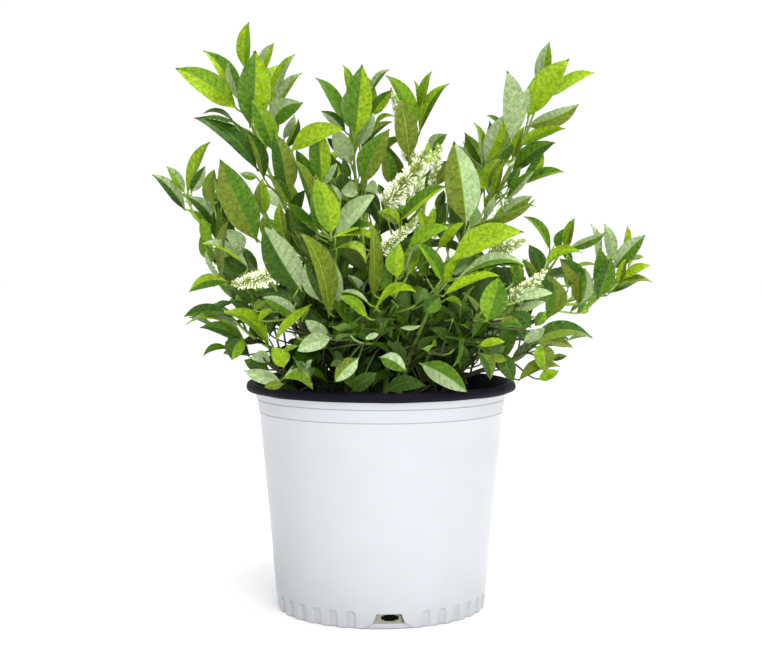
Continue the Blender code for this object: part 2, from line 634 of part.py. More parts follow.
def object_of(name, bm, collection, finish=None):
    mesh = bpy.data.meshes.new(name)
    bm.to_mesh(mesh)
    bm.free()
    made = bpy.data.objects.new(name, mesh)
    collection.objects.link(made)
    if finish:
        mesh.materials.append(finish)
        smooth(mesh)
    return made


def turned(name, profile, collection, finish):
    """A profile of radius and height, turned round the upright axis."""
    bm = bmesh.new()
    verts = [bm.verts.new((radius, 0, height)) for radius, height in profile]
    for a, b in zip(verts, verts[1:]):
        bm.edges.new((a, b))
    made = object_of(name, bm, collection, finish)
    screw = made.modifiers.new("Turn", "SCREW")
    screw.steps = screw.render_steps = POT_STEPS
    screw.use_merge_vertices = True
    screw.merge_threshold = MERGE_DISTANCE
    solid = evaluated_bmesh(made)
    made.modifiers.clear()
    solid.to_mesh(made.data)
    solid.free()
    smooth(made.data)
    return made


def wall_radius(height):
    """The outside of the pot's tapered wall."""
    return FOOT_RADIUS + (WALL_TOP_RADIUS - FOOT_RADIUS) * height / WALL_TOP


def pot_profile():
    inside = [
        (0, FLOOR),
        (wall_radius(FLOOR) - FOOT_WALL, FLOOR),
        (wall_radius(FOOT_WALL_TOP) - FOOT_WALL, FOOT_WALL_TOP),
        (wall_radius(FOOT_WALL_TOP) - WALL, FOOT_WALL_TOP + FOOT_WALL_TAPER),
        (WALL_TOP_RADIUS - WALL, WALL_TOP),
        (RIM_RADIUS - RIM_WIDTH, COLLAR_TOP),
    ]
    rim = [
        (RIM_RADIUS - RIM_WIDTH + RIM_TAPER, POT_HEIGHT - RIM_ROUND),
        (RIM_RADIUS - RIM_WIDTH + RIM_TAPER + RIM_ROUND, POT_HEIGHT),
        (RIM_RADIUS - RIM_ROUND, POT_HEIGHT),
        (RIM_RADIUS, POT_HEIGHT - RIM_ROUND),
        (RIM_RADIUS, COLLAR_TOP + RIM_TAPER),
        (RIM_RADIUS - RIM_TAPER, COLLAR_TOP),
    ]
    collars = [
        (WALL_TOP_RADIUS + COLLAR_OUT + COLLAR_STEP, COLLAR_TOP),
        (WALL_TOP_RADIUS + COLLAR_OUT, COLLAR_MID + COLLAR_EDGE),
        (WALL_TOP_RADIUS + COLLAR_OUT - COLLAR_STEP, COLLAR_MID - COLLAR_EDGE),
        (WALL_TOP_RADIUS + COLLAR_STEP, WALL_TOP + COLLAR_EDGE),
        (WALL_TOP_RADIUS, WALL_TOP - COLLAR_EDGE),
    ]
    return inside + rim + collars + [(FOOT_RADIUS, 0), (0, 0)]


def soil_profile():
    clear = SOIL_GAP
    return [
        (0, SOIL_TOP),
        (WALL_TOP_RADIUS - WALL - clear, SOIL_TOP),
        (wall_radius(FOOT_WALL_TOP) - WALL - clear, FOOT_WALL_TOP + FOOT_WALL_TAPER + clear),
        (wall_radius(FOOT_WALL_TOP) - FOOT_WALL - clear, FOOT_WALL_TOP + clear),
        (wall_radius(FLOOR) - FOOT_WALL - clear, FLOOR + clear),
        (0, FLOOR + clear),
    ]


def prism_cutter(name, outline, depth, matrix, collection):
    """A flat outline extruded both ways, as a mesh that cuts."""
    curve = bpy.data.curves.new(name, "CURVE")
    curve.dimensions = "2D"
    curve.fill_mode = "BOTH"
    curve.extrude = depth / 2
    spline = curve.splines.new("POLY")
    spline.points.add(len(outline) - 1)
    spline.use_cyclic_u = True
    for point, (x, y) in zip(spline.points, outline):
        point.co = (x, y, 0, 1)
    drawn = bpy.data.objects.new(name + "_outline", curve)
    collection.objects.link(drawn)
    bpy.context.view_layer.update()
    graph = bpy.context.evaluated_depsgraph_get()
    bm = bmesh.new()
    bm.from_mesh(bpy.data.meshes.new_from_object(drawn.evaluated_get(graph)))
    bpy.data.objects.remove(drawn)
    bmesh.ops.remove_doubles(bm, verts=bm.verts, dist=MERGE_DISTANCE)
    bmesh.ops.recalc_face_normals(bm, faces=bm.faces)
    cutter = object_of(name, bm, collection)
    cutter.matrix_world = matrix
    cutter.hide_render = True
    cutter.display_type = "WIRE"
    return cutter


def on_wall(turn, radius):
    """A frame on the foot of the wall: X along the wall, Y up it and Z outwards."""
    lean = math.atan((WALL_TOP_RADIUS - FOOT_RADIUS) / WALL_TOP)
    stand = Matrix.Rotation(math.radians(90), 4, "Z") @ Matrix.Rotation(math.radians(90), 4, "X")
    out = Matrix.Translation((radius, 0, 0)) @ Matrix.Rotation(lean, 4, "Y")
    return Matrix.Rotation(turn, 4, "Z") @ out @ stand


def cut_foot(pot, cutters):
    """Cuts the flutes and the four drains round the foot of the pot."""
    half = FLUTE_WIDTH / 2
    arch = [(half * math.cos(a), FLUTE_HEIGHT - half + half * math.sin(a))
            for a in (math.pi * i / 4 for i in range(5))]
    flute = [(half, -CUTTER_BELOW), *arch, (-half, -CUTTER_BELOW)]
    right = [(DRAIN_FOOT_WIDTH / 2, -CUTTER_BELOW), (DRAIN_SILL_WIDTH / 2, DRAIN_SILL),
             (DRAIN_TOP_WIDTH / 2, DRAIN_SILL), (DRAIN_TOP_WIDTH / 2, DRAIN_HEIGHT)]
    drain = right + [(-x, y) for x, y in reversed(right)]
    outer = FOOT_RADIUS + CUTTER_SPARE
    flute_radius = FOOT_RADIUS - FLUTE_DEPTH + FLUTE_CUTTER_DEPTH / 2
    for quarter in range(4):
        turn = DRAIN_TURN + quarter * math.pi / 2
        prism_cutter(f"drain_{quarter}", drain, outer - DRAIN_INNER_RADIUS,
                     on_wall(turn, (DRAIN_INNER_RADIUS + outer) / 2), cutters)
        for place in range(2, FLUTES_PER_QUARTER - 1):
            prism_cutter(f"flute_{quarter}_{place}", flute, FLUTE_CUTTER_DEPTH,
                         on_wall(turn + place * FLUTE_PITCH, flute_radius), cutters)
    cut = pot.modifiers.new("Foot", "BOOLEAN")
    cut.operation = "DIFFERENCE"
    cut.operand_type = "COLLECTION"
    cut.collection = cutters


def evaluated_bmesh(obj):
    bpy.context.view_layer.update()
    graph = bpy.context.evaluated_depsgraph_get()
    bm = bmesh.new()
    bm.from_mesh(bpy.data.meshes.new_from_object(obj.evaluated_get(graph)))
    return bm


def keep_largest_body(mesh):
    """Drops loose scraps and the skins of sealed hollows, which leaves one solid."""
    bm = bmesh.new()
    bm.from_mesh(mesh)
    left = set(bm.verts)
    bodies = []
    while left:
        body, edge = set(), [left.pop()]
        while edge:
            vert = edge.pop()
            body.add(vert)
            near = {e.other_vert(vert) for e in vert.link_edges} & left
            left -= near
            edge.extend(near)
        bodies.append(body)
    largest = max(bodies, key=len)
    bmesh.ops.delete(bm, geom=[v for v in bm.verts if v not in largest], context="VERTS")
    bm.to_mesh(mesh)
    bm.free()


def join_mass(name, stem, pieces, collection, finish):
    """Joins the stem of a mass with its pieces by one union, and removes the pieces."""
    made = object_of(name, stem, collection, finish)
    loose = bpy.data.collections.new(name + "_pieces")
    bpy.context.scene.collection.children.link(loose)
    for i, bm in enumerate(pieces):
        object_of(f"{name}_piece_{i}", bm, loose, finish)
    union = made.modifiers.new("Join", "BOOLEAN")
    union.operation = "UNION"
    union.operand_type = "COLLECTION"
    union.solver = "MANIFOLD"
    union.collection = loose
    joined = evaluated_bmesh(made)
    made.modifiers.clear()
    joined.to_mesh(made.data)
    joined.free()
    for piece in list(loose.objects):
        bpy.data.objects.remove(piece)
    bpy.data.collections.remove(loose)
    keep_largest_body(made.data)
    smooth(made.data)
    return made


def take_stem(mass, line, radius, placed):
    return mass.take(lambda margin: shoot_mesh(line, line.length, radius, margin), placed)


def take_lead(mass, lead, shoot, line, placed, masses):
    """Adds a leading leaf with the twig that carries it. Right on the shoot it needs none."""
    leaf = lead_leaf(lead)
    twig = lead_twig(leaf, shoot, line)
    if twig.length < LEAST_TWIG / 2 or take_stem(mass, twig, TWIG_RADIUS, placed):
        mass.take_leaf(leaf, placed, masses)


def take_spike(mass, spike, line, placed):
    root = line.point(spike.back)
    mass.take(lambda margin: raceme_mesh(root, spike.tip, spike.radius, margin), placed)


def grow_masses(masses, lines, placed):
    """Forks first, then the leading leaves, flower spikes and twigs, then the leaves from every tip."""
    grown = [(mass, shoot, lines[shoot.name]) for mass in masses for shoot in mass.shoots
             if not shoot.parent or take_stem(mass, lines[shoot.name], FORK_RADIUS, placed)]
    for mass, shoot, line in grown:
        for lead in (lead for lead in LEADS if lead.shoot == shoot.name):
            take_lead(mass, lead, shoot, line, placed, masses)
    for mass, shoot, line in grown:
        for spike in (raceme for raceme in RACEMES if raceme.shoot == shoot.name):
            take_spike(mass, spike, line, placed)
    leaves = []
    for mass, shoot, line in grown:
        on_line, twigs = foliage_of(shoot, line)
        leaves += [(count, mass, leaf) for count, leaf in enumerate(on_line)]
        for twig, on_twig in twigs:
            if take_stem(mass, twig, TWIG_RADIUS, placed):
                leaves += [(count, mass, leaf) for count, leaf in enumerate(on_twig)]
    crown = crown_of([lead_leaf(lead) for lead in LEADS])
    for _, mass, leaf in sorted(leaves, key=lambda entry: entry[0]):
        if in_crown(leaf, crown):
            mass.take_leaf(leaf, placed, masses)


def main():
    for obj in list(bpy.data.objects):
        bpy.data.objects.remove(obj)
    parts = bpy.data.collections.new("potted_virginia_sweetspire")
    cutters = bpy.data.collections.new("cutters")
    for collection in (parts, cutters):
        bpy.context.scene.collection.children.link(collection)

    pot = turned("pot", pot_profile(), parts, material("pot_white", POT_WHITE, 0.35))
    cut_foot(pot, cutters)
    soil = turned("soil", soil_profile(), parts, material("soil_brown", SOIL_BROWN, 0.95))

    bark = material("cane_brown", CANE_BROWN, 0.7)
    green = material("leaf_green", LEAF_GREEN, 0.45)
    lines = lines_of(SHOOTS)
    masses = [Mass(shoot, lines) for shoot in SHOOTS if shoot.parent is None]
    placed = Placed()
    placed.add("pot", evaluated_bmesh(pot))
    placed.add("soil", evaluated_bmesh(soil))
    for mass in masses:
        cane = cane_mesh(mass.line, mass.room)
        placed.add(mass.name + "_cane", cane)
        object_of(mass.name + "_cane", cane, parts, bark)
        placed.add(mass.name, shoot_mesh(mass.line, mass.room - GAP, CANE_RADIUS, CLEARANCE))
    grow_masses(masses, lines, placed)
    for mass in masses:
        stem = shoot_mesh(mass.line, mass.room - GAP, CANE_RADIUS)
        join_mass(mass.name + "_leaves", stem, mass.pieces, parts, green)


if __name__ == "__main__":
    main()
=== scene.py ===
"""Potted Virginia sweetspire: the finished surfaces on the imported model's frame.

The foliage grows by the same rule and from the same shoots as the solids, with real leaves.
Metres, +Z up. The origin is the middle of the pot's flat underside, and -Y is the front.
"""
import itertools
import json
import math
import random
from collections import namedtuple

import bpy
import numpy as np
from mathutils import Matrix, Vector

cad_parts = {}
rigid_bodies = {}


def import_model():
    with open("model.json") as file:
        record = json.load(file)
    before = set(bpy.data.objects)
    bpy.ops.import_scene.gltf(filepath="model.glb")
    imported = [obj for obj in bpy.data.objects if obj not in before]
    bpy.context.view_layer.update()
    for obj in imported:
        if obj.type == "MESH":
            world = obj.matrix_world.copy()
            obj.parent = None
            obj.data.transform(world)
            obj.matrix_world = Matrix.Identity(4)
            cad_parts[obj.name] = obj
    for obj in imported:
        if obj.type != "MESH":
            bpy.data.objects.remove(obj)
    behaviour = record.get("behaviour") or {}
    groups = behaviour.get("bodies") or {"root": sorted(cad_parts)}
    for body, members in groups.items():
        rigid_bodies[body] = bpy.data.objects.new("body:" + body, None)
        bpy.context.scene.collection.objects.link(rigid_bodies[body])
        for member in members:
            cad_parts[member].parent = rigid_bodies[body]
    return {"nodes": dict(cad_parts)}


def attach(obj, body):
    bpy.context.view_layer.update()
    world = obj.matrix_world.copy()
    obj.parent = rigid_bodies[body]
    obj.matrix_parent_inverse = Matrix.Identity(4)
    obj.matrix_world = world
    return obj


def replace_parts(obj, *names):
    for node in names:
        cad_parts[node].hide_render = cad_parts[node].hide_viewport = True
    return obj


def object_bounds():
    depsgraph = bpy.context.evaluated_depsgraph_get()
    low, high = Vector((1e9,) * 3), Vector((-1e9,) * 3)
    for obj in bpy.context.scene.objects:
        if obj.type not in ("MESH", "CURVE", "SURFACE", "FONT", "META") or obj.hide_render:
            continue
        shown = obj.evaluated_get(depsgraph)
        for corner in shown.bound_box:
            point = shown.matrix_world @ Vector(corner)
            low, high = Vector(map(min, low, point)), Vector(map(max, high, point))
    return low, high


UP = Vector((0, 0, 1))
FRONT = Vector((0, -1, 0))
GAP = 0.0003

# The photograph's view: its width, focal length and middle in pixels, where it is taken from, its pitch
PHOTO_WIDTH = 762
FOCAL_PIXELS = 1480
PICTURE_MIDDLE = (381, 322.5)
VIEW_FROM = Vector((0, -1.536, 0.376))
VIEW_PITCH = math.radians(-3.04)
SENSOR = 36

# Studio: an even pale surround, and lamps by name, place, size and power
WORLD_STRENGTH = 1.03
FLOOR_WHITE = (0.985, 0.985, 0.985)
FLOOR_HALF = 12
FLOOR_DOWN = 0.0005
LAMPS = (("sun", (0.6, 0.0, 2.1), 0.5, 52), ("fill", (0.3, -1.8, 1.0), 1.2, 24))
LAMP_AIM = Vector((0, 0, 0.3))

# Pot, as in the solids
POT_HEIGHT = 0.2344
RIM_RADIUS = 0.140
FOOT_RADIUS = 0.108
WALL_TOP_RADIUS = 0.1262
WALL_TOP = 0.204
COLLAR_MID = 0.2172
COLLAR_TOP = 0.2248
COLLAR_OUT = 0.0032
COLLAR_STEP = 0.0008
WALL = 0.0016
FLUTE_PITCH = math.radians(10)
FLUTES_PER_QUARTER = 9
FLUTE_WIDTH = 0.010
FLUTE_HEIGHT = 0.017
FLUTE_PRESS = 0.0022
PRESS_EDGE = 0.0010
DRAIN_TURN = math.radians(-86)
DRAIN_FOOT_WIDTH = 0.050
DRAIN_SILL_WIDTH = 0.031
DRAIN_SILL = 0.0055
DRAIN_TOP_WIDTH = 0.024
DRAIN_HEIGHT = 0.0147
DRAIN_DEPTH = 0.0045
SILL_DEPTH = 0.0016
DRAIN_EDGE = 0.0006
SOIL_TOP = 0.206

# Rings of the pot: radii of the underside, heights up the wall, the collars by their step out from the
# wall's top, their height and their finish, the arc of the rim, and the inside down to the soil
WHITE, BLACK, SHADED_BAND, HOLE, SEAM_SHADE = range(5)
POT_STEPS = 720
UNDERSIDE_RADII = (0.001, 0.06, FOOT_RADIUS - 0.008)
FOOT_EASE = 0.0006
FOOT_TOP = 0.0185
WALL_RINGS = (0.0, 0.0005, *np.arange(0.001, FOOT_TOP, 0.0005), 0.022, 0.06, 0.12, 0.17, WALL_TOP - 0.001)
# The seam rows are narrow grooves at the collars, painted grey as the shade in them.
COLLARS = (
    (0.0001, WALL_TOP - 0.0007, WHITE),
    (-0.0002, WALL_TOP - 0.0005, WHITE),
    (-0.0002, WALL_TOP + 0.0001, SEAM_SHADE),
    (COLLAR_STEP, WALL_TOP + 0.0005, WHITE),
    (0.0030 - COLLAR_STEP, COLLAR_MID - 0.0009, WHITE),
    (0.0018, COLLAR_MID - 0.0006, WHITE),
    (0.0018, COLLAR_MID, SEAM_SHADE),
    (COLLAR_OUT, COLLAR_MID + 0.0004, WHITE),
    (COLLAR_OUT + COLLAR_STEP, COLLAR_TOP - 0.0006, WHITE),
    (0.0046, COLLAR_TOP, BLACK),
)
RIM_ARC = (-1.45, math.pi - 0.4, 16)
RIM_WAVE = 0.0004
INSIDE_RINGS = (
    (RIM_RADIUS - 0.0118, COLLAR_TOP - 0.001),
    (WALL_TOP_RADIUS - WALL, WALL_TOP),
    (WALL_TOP_RADIUS - WALL - 0.001, SOIL_TOP - 0.012),
)
# The drain's hole is not cut: a ragged ellipse is painted black as the shade seen through it, and a strip
# along one edge of the band is painted black as shade too.
HOLE_ASIDE, HOLE_UP = 0.0012, 0.0100
HOLE_HALF_WIDTH, HOLE_HALF_HEIGHT = 0.0092, 0.0036
HOLE_TEETH, HOLE_RAGGED = 300, 0.25
HOLE_SHADE = 1.5

# Potting mix: a lumpy disc, and chips of bark by their least and most size each way
SOIL_RINGS, SOIL_STEPS = 26, 90
SOIL_GAP = 0.0006
SOIL_MIDDLE = 0.0004
SOIL_UP = 0.0005
SOIL_LUMP = 0.0012
CHIPS = 900
CHIP_EDGE = 0.006
CHIP_UP = (0.0008, 0.0030)
CHIP_SIZES = ((0.002, 0.006), (0.001, 0.003), (0.0008, 0.002))
CHIP_SIDES = ((0, 1, 3, 2), (4, 6, 7, 5), (0, 4, 5, 1), (2, 3, 7, 6), (0, 2, 6, 4), (1, 5, 7, 3))

# Canes: a foot starts towards its tip, further out for a low tip, and is pushed this far from others
FOOT_LEAN = 0.090
FOOT_SPACING = 0.013
FOOT_PUSHES = 60
CANE_RADIUS = 0.0032
FORK_RADIUS = 0.0016
TWIG_RADIUS = 0.0011
TIP_RADIUS = 0.0008
STEM_STEPS = 8
TWIG_STEPS = 3
LEAD_TWIG_STEPS = 2

# How far a line leaves its root and reaches its tip upright, as shares, and the length of its handles
CANE_RISE, CANE_LIFT = 0.55, 0.35
FORK_RISE, FORK_LIFT = 0.10, 0.40
TWIG_RISE, TWIG_LIFT = 0.0, 0.40
LEAD_RISE, LEAD_LIFT = 0.3, 0.3
SPIKE_LIFT = 0.25
ROOT_HANDLE, TIP_HANDLE = 0.38, 0.34
HEADING_STEP = 0.004

# Stems as they are drawn: sides and steps, the taper, the knots, the bark that ends this high, and the
# shares of a twig at which it may end
BROWN, GREEN, DIM = range(3)
CANE_MESH, TWIG_MESH, LEAD_TWIG_MESH = (8, 28), (5, 8), (5, 10)
YOUNG_CANES = ("front_right_mid", "front_left_mid", "left_low", "front")
TAPER = 0.7
KNOT_SIZE, KNOT_PACE = 0.10, 2.1
BARK_TOP = 0.30
TWIG_ENDS = [i / 40 for i in range(4, 41)]

# Leaves stand round a stem at the golden angle, close together at its tip and then evenly
GOLDEN = math.radians(137.5)
FIRST_SPACE = 0.003
SPACE_GROWTH = 0.0022
MOST_SPACE = 0.022
FULL_GROWN = 6
LEAF_STRAY = 0.3
LEAF_LEAN = (15, 60)
LEAN_STRAY = 10
LEANT = 8
LEAF_RISE = 0.15
FACE_AHEAD, FACE_UP, FACE_OUT = 0.6, 0.8, -0.4
LEAF_ROLL = 30
YOUNG_SIZE = 0.6
LEAF_LENGTHS = (0.85, 1.12)
LEAF_WIDTHS = (0.35, 0.44)
LEAF_DROOP = (8, 60)

# Twigs of the rule, by their share of the leafy stretch, their reach and their direction
TWIG_PLACES = (0.35, 0.95)
TWIG_REACH = (0.045, 0.090)
TWIG_AHEAD, TWIG_OUT, TWIG_UP = 0.7, 0.9, 0.3
TWIG_LEAFY = 0.8
TWIG_LEAF_SHARE = 0.8

# Finer twigs than the solids have, on each shoot and on the bare foot of each cane
EXTRA_TWIGS = 7
EXTRA_TOP = 0.404
EXTRA_PLACES = (0.20, 1.0)
EXTRA_REACH = (0.035, 0.070)
EXTRA_LEAF = 0.9
FOOT_TWIGS = 12
FOOT_PLACES = 0.93

# A leading leaf is arched, leans forward by a share of its length, and is turned where it looks narrow
LEAD_BEND = math.radians(24)
LEAD_FORWARD = 0.25
LEAD_SHARE = 0.36
LEAST_SHOWN = 0.35
LEAD_SEAT = 0.08
LEAD_SPOTS = 30
LEAD_TWIG_SHARE = 0.8
LEAST_TWIG = 0.008

# The other leaves keep this near to the leading ones, and clear of the rim, the soil and open views
EDGE = 0.006
RIM_CLEAR_HEIGHT = 0.243
RIM_CLEAR_RADIUS = 0.122
SOIL_CLEAR = 0.004
BOX_SPARE = 0.008
INNER_HALF = 0.100
INNER_TOP = 0.350
LEAD_IN_VIEW = 0.42
STEM_IN_VIEW = 0.004
STEMS_IN_VIEW = (("front_right_mid", 0.26, 0.62), ("right_tall", 0.62, 0.86), ("far_right_fork", 0.2, 0.75),
                 ("left_tall", 0.80, 0.93))
SPIKE_IN_VIEW = 0.004
MIDDLE_DEPTH = 0.03
AHEAD_SPARE = 0.004
MARGIN = 0.4

# Leaf surface: rows along the blade, columns across it, and its half width along its length. A
# leading leaf has narrow sunken rows for its side veins, with a raised row between them.
ROWS = (0.0, 0.035, 0.08, 0.14, 0.21, 0.29, 0.37, 0.45, 0.53, 0.61, 0.69, 0.77, 0.84, 0.90, 0.95, 1.0)
VEINS = (0.15, 0.27, 0.39, 0.51, 0.63, 0.75, 0.86)
VEIN_HALF = 0.007
VEIN_SPACE = 0.058
VEIN_ROWS = [vein_shade + step for vein_shade in VEINS for step in (-VEIN_HALF, VEIN_HALF, VEIN_SPACE)]
FINE_ROWS = (0.0, 0.04, 0.09, *VEIN_ROWS, 0.955, 1.0)
FIRST_VEIN_ROW = 3
COLUMNS = (-1.0, -0.5, -0.030, 0.030, 0.5, 1.0)
OUTLINE = ((0.0, 0.045), (0.05, 0.07), (0.10, 0.25), (0.18, 0.56), (0.28, 0.84), (0.38, 0.97), (0.47, 1.0),
           (0.56, 0.98), (0.66, 0.90), (0.75, 0.76), (0.83, 0.58), (0.90, 0.36), (0.95, 0.16), (1.0, 0.012))
BLADE_THICKNESS = 0.0005
VEIN_SWEEP = 0.14
TIP_CURL = 0.9
CURL_START = 0.8
DARK_TIP = 0.94
WAVE_PACE = (7, 12)
LEAVES_PER_PIECE = 550
SHARP_ANGLE = math.radians(55)

# How a leaf of the rule and a leading leaf are folded, twisted and waved, and the depth of their veins
Form = namedtuple("Form", "rows fold twist wave relief")
RULE_FORM = Form(ROWS, (14, 38), 26, 0.035, 0.00016)
LEAD_FORM = Form(FINE_ROWS, (6, 20), 8, 0.012, 0.00052)

# Colours of each tone of leaf above and below, the gloss, and the factor that darkens the veins as painted
# shade. The first five tones run from the darkest to the brightest: the leaf green in painted shade and in
# painted sunlight, and partly a real fresher green. The glossy grey-green tone's paleness is a painted sheen,
# the sky's reflection. A skin lets light through, and has a bump and its scale.
TONES = {
    "deep": ((0.014, 0.036, 0.003), (0.035, 0.065, 0.014), 0.10, 0.8),
    "dark": ((0.031, 0.082, 0.004), (0.065, 0.120, 0.024), 0.12, 0.8),
    "mid": ((0.062, 0.146, 0.004), (0.100, 0.185, 0.034), 0.12, 0.8),
    "fresh": ((0.132, 0.248, 0.004), (0.145, 0.255, 0.034), 0.12, 0.8),
    "bright": ((0.208, 0.325, 0.004), (0.200, 0.320, 0.034), 0.12, 0.8),
    "olive": ((0.118, 0.166, 0.010), (0.130, 0.185, 0.034), 0.12, 0.8),
    "silver": ((0.230, 0.312, 0.128), (0.230, 0.312, 0.128), 0.50, 0.7),
    "pale": ((0.310, 0.420, 0.200), (0.310, 0.420, 0.200), 0.20, 0.82),
}
TONE_NAMES = tuple(TONES)
# Odd tones dealt out at random: olive, the glossy grey-green one whose paleness is painted sheen, and pale.
ODD_TONES = (("olive", 0.10), ("silver", 0.15), ("pale", 0.18))
LEAF_SKIN = (0.25, 0.20, 500)
GLOW = 1.4
# The mottle is a slow random change of tone; its bright end is lifted and whitened as a painted highlight.
MOTTLE = 1.6
MOTTLE_RANGE = (0.3, 0.75)
MOTTLE_AND_HIGHLIGHT_LIFT = 2.2
HIGHLIGHT_WHITENING = 0.025
BUMP_DISTANCE = 0.001

# A leaf of the rule is brighter by its height and its distance out, so that low and inner leaves carry
# painted shade, by its youth and a stray, and on its sunny half as painted sunlight
LIT_HEIGHT = (0.185, 0.300)
LIT_OUT = 0.30
LIT_RADIUS, LIT_FROM = 0.2, 0.7
YOUNG_LEAVES = 4
YOUNG_LIGHT = 0.22
LIGHT_STRAY = 0.20
LIGHT_STEPS = 3.6
BRIGHTEST = 4
ONE_TONE = 0.35
SUN_SIDE = Vector((0.8, -0.2, 0.6))

# Flower spikes, and florets in shares of their size. A petal starts, bends and ends this far ahead and
# out, and further out by its spread.
FLORET_SPACE = 0.00068
SPIKE_STALK = 0.0009
SPIKE_STEPS = 10
SPIKE_SIDES = 5
SPIKE_TAPER = 0.4
SPIKE_END = 0.005
BUD_CURVE = 2.5
BUD_SHRINK = 0.62
BUD_SHARE = 0.8
BUD_LEAN = (0.40, 1.0)
PETALS = 5
PETAL_WIDTH = 0.075
PETAL_STRAY = 0.25
PETAL_SPREAD = (0.15, 0.55)
PETAL_REACH = (1.0, 1.35)
PETAL_FOOT, PETAL_BEND, PETAL_TIP = (0.38, 0.08, 0.0), (0.72, 0.12, 0.3), (0.2, 0.6)
PETAL_WAIST = 0.6
CUP_FOOT, CUP_TOP, CUP_RADIUS = 0.30, 0.62, 0.15
FLORET_STRAY = 0.35
FLORET_SIZES = (0.85, 1.2)

# A shoot without a parent is a cane from the soil. A fork leaves its parent this far below the tip.
# Then come the shoot's own tip, the bare share of its length, its twigs and the length of its leaves.
Shoot = namedtuple("Shoot", "name parent back tip bare twigs leaf")
SHOOTS = [Shoot(*row) for row in (
    ("left_tall", None, 0, (-0.140, -0.030, 0.530), 0.35, 0, 0.085),
    ("left_tall_fork", "left_tall", 0.150, (-0.115, -0.015, 0.530), 0.10, 0, 0.075),
    ("left_arm", None, 0, (-0.200, -0.020, 0.425), 0.40, 1, 0.062),
    ("left_arm_fork", "left_arm", 0.130, (-0.160, -0.060, 0.340), 0.20, 0, 0.060),
    ("middle_tall", None, 0, (-0.030, -0.030, 0.500), 0.35, 1, 0.076),
    ("middle_tall_fork", "middle_tall", 0.120, (-0.010, 0.020, 0.515), 0.10, 0, 0.060),
    ("middle_right", None, 0, (0.035, -0.010, 0.505), 0.38, 1, 0.070),
    ("middle_right_fork", "middle_right", 0.120, (0.070, -0.030, 0.465), 0.10, 0, 0.070),
    ("right_tall", None, 0, (0.165, 0.000, 0.535), 0.38, 0, 0.070),
    ("right_tall_fork", "right_tall", 0.120, (0.125, -0.035, 0.480), 0.10, 0, 0.066),
    ("right_arm", None, 0, (0.185, -0.020, 0.370), 0.45, 1, 0.055),
    ("far_right", None, 0, (0.235, 0.015, 0.355), 0.50, 1, 0.055),
    ("far_right_fork", "far_right", 0.060, (0.240, -0.030, 0.335), 0.10, 0, 0.055),
    ("right_low", None, 0, (0.160, -0.080, 0.285), 0.40, 1, 0.060),
    ("left_low", None, 0, (-0.155, -0.050, 0.310), 0.40, 1, 0.060),
    ("left_rim", None, 0, (-0.115, -0.095, 0.265), 0.40, 1, 0.055),
    ("front_left", None, 0, (-0.110, -0.105, 0.350), 0.40, 1, 0.070),
    ("front_left_mid", None, 0, (-0.050, -0.090, 0.390), 0.35, 1, 0.078),
    ("front_mid", None, 0, (-0.020, -0.070, 0.410), 0.35, 1, 0.074),
    ("front", None, 0, (0.015, -0.125, 0.355), 0.35, 1, 0.070),
    ("front_right_mid", None, 0, (0.065, -0.115, 0.370), 0.35, 1, 0.074),
    ("front_right", None, 0, (0.110, -0.110, 0.335), 0.35, 1, 0.070),
    ("front_fork", "front", 0.100, (-0.030, -0.125, 0.290), 0.10, 0, 0.066),
    ("front_right_mid_fork", "front_right_mid", 0.120, (0.070, -0.120, 0.275), 0.10, 0, 0.066),
    ("front_left_mid_fork", "front_left_mid", 0.120, (-0.085, -0.115, 0.290), 0.10, 0, 0.066),
    ("back_left", None, 0, (-0.165, 0.080, 0.400), 0.38, 4, 0.076),
    ("back_left_tall", None, 0, (-0.085, 0.110, 0.450), 0.38, 3, 0.080),
    ("back", None, 0, (-0.005, 0.160, 0.420), 0.38, 4, 0.080),
    ("back_tall", None, 0, (0.055, 0.085, 0.470), 0.38, 4, 0.078),
    ("back_right_tall", None, 0, (0.115, 0.130, 0.445), 0.38, 3, 0.080),
    ("back_right", None, 0, (0.190, 0.085, 0.375), 0.40, 4, 0.066),
    ("back_left_tall_fork", "back_left_tall", 0.140, (-0.115, 0.170, 0.330), 0.10, 1, 0.076),
    ("back_fork", "back", 0.140, (0.035, 0.200, 0.320), 0.10, 1, 0.076),
    ("back_right_tall_fork", "back_right_tall", 0.140, (0.140, 0.170, 0.310), 0.10, 1, 0.076),
)]


def seen_at(point, depth):
    """The real place of a point of the photograph, in pixels, that lies at a given Y."""
    beside = (point[0] - PICTURE_MIDDLE[0]) / FOCAL_PIXELS
    above = (PICTURE_MIDDLE[1] - point[1]) / FOCAL_PIXELS
    sight = Matrix.Rotation(VIEW_PITCH, 3, "X") @ Vector((beside, 1, above))
    return VIEW_FROM + sight * (depth - VIEW_FROM.y) / sight.y


# A flower spike leaves its shoot this far below the tip. Its florets stand within a radius, and this
# share of them is in green bud. Foot and tip are read in the photograph, each with its depth, or at
# the back are places in metres.
Raceme = namedtuple("Raceme", "shoot back radius green foot tip")
SPIKES_SEEN = (
    ("middle_right", 0.150, 0.0150, 0.0, (385, 206), -0.075, (428, 150), -0.080),
    ("middle_right", 0.110, 0.0095, 0.1, (435, 188), -0.065, (438, 145), -0.060),
    ("middle_right", 0.030, 0.0080, 0.2, (409, 161), -0.020, (391, 88), -0.005),
    ("front_mid", 0.040, 0.0095, 0.1, (380, 252), -0.105, (418, 217), -0.115),
    ("front_left", 0.010, 0.0120, 0.0, (271, 275), -0.110, (233, 283), -0.135),
    ("right_tall", 0.200, 0.0100, 0.85, (490, 251), -0.098, (524, 240), -0.095),
    ("right_arm", 0.090, 0.0110, 0.1, (513, 299), -0.080, (545, 270), -0.070),
)
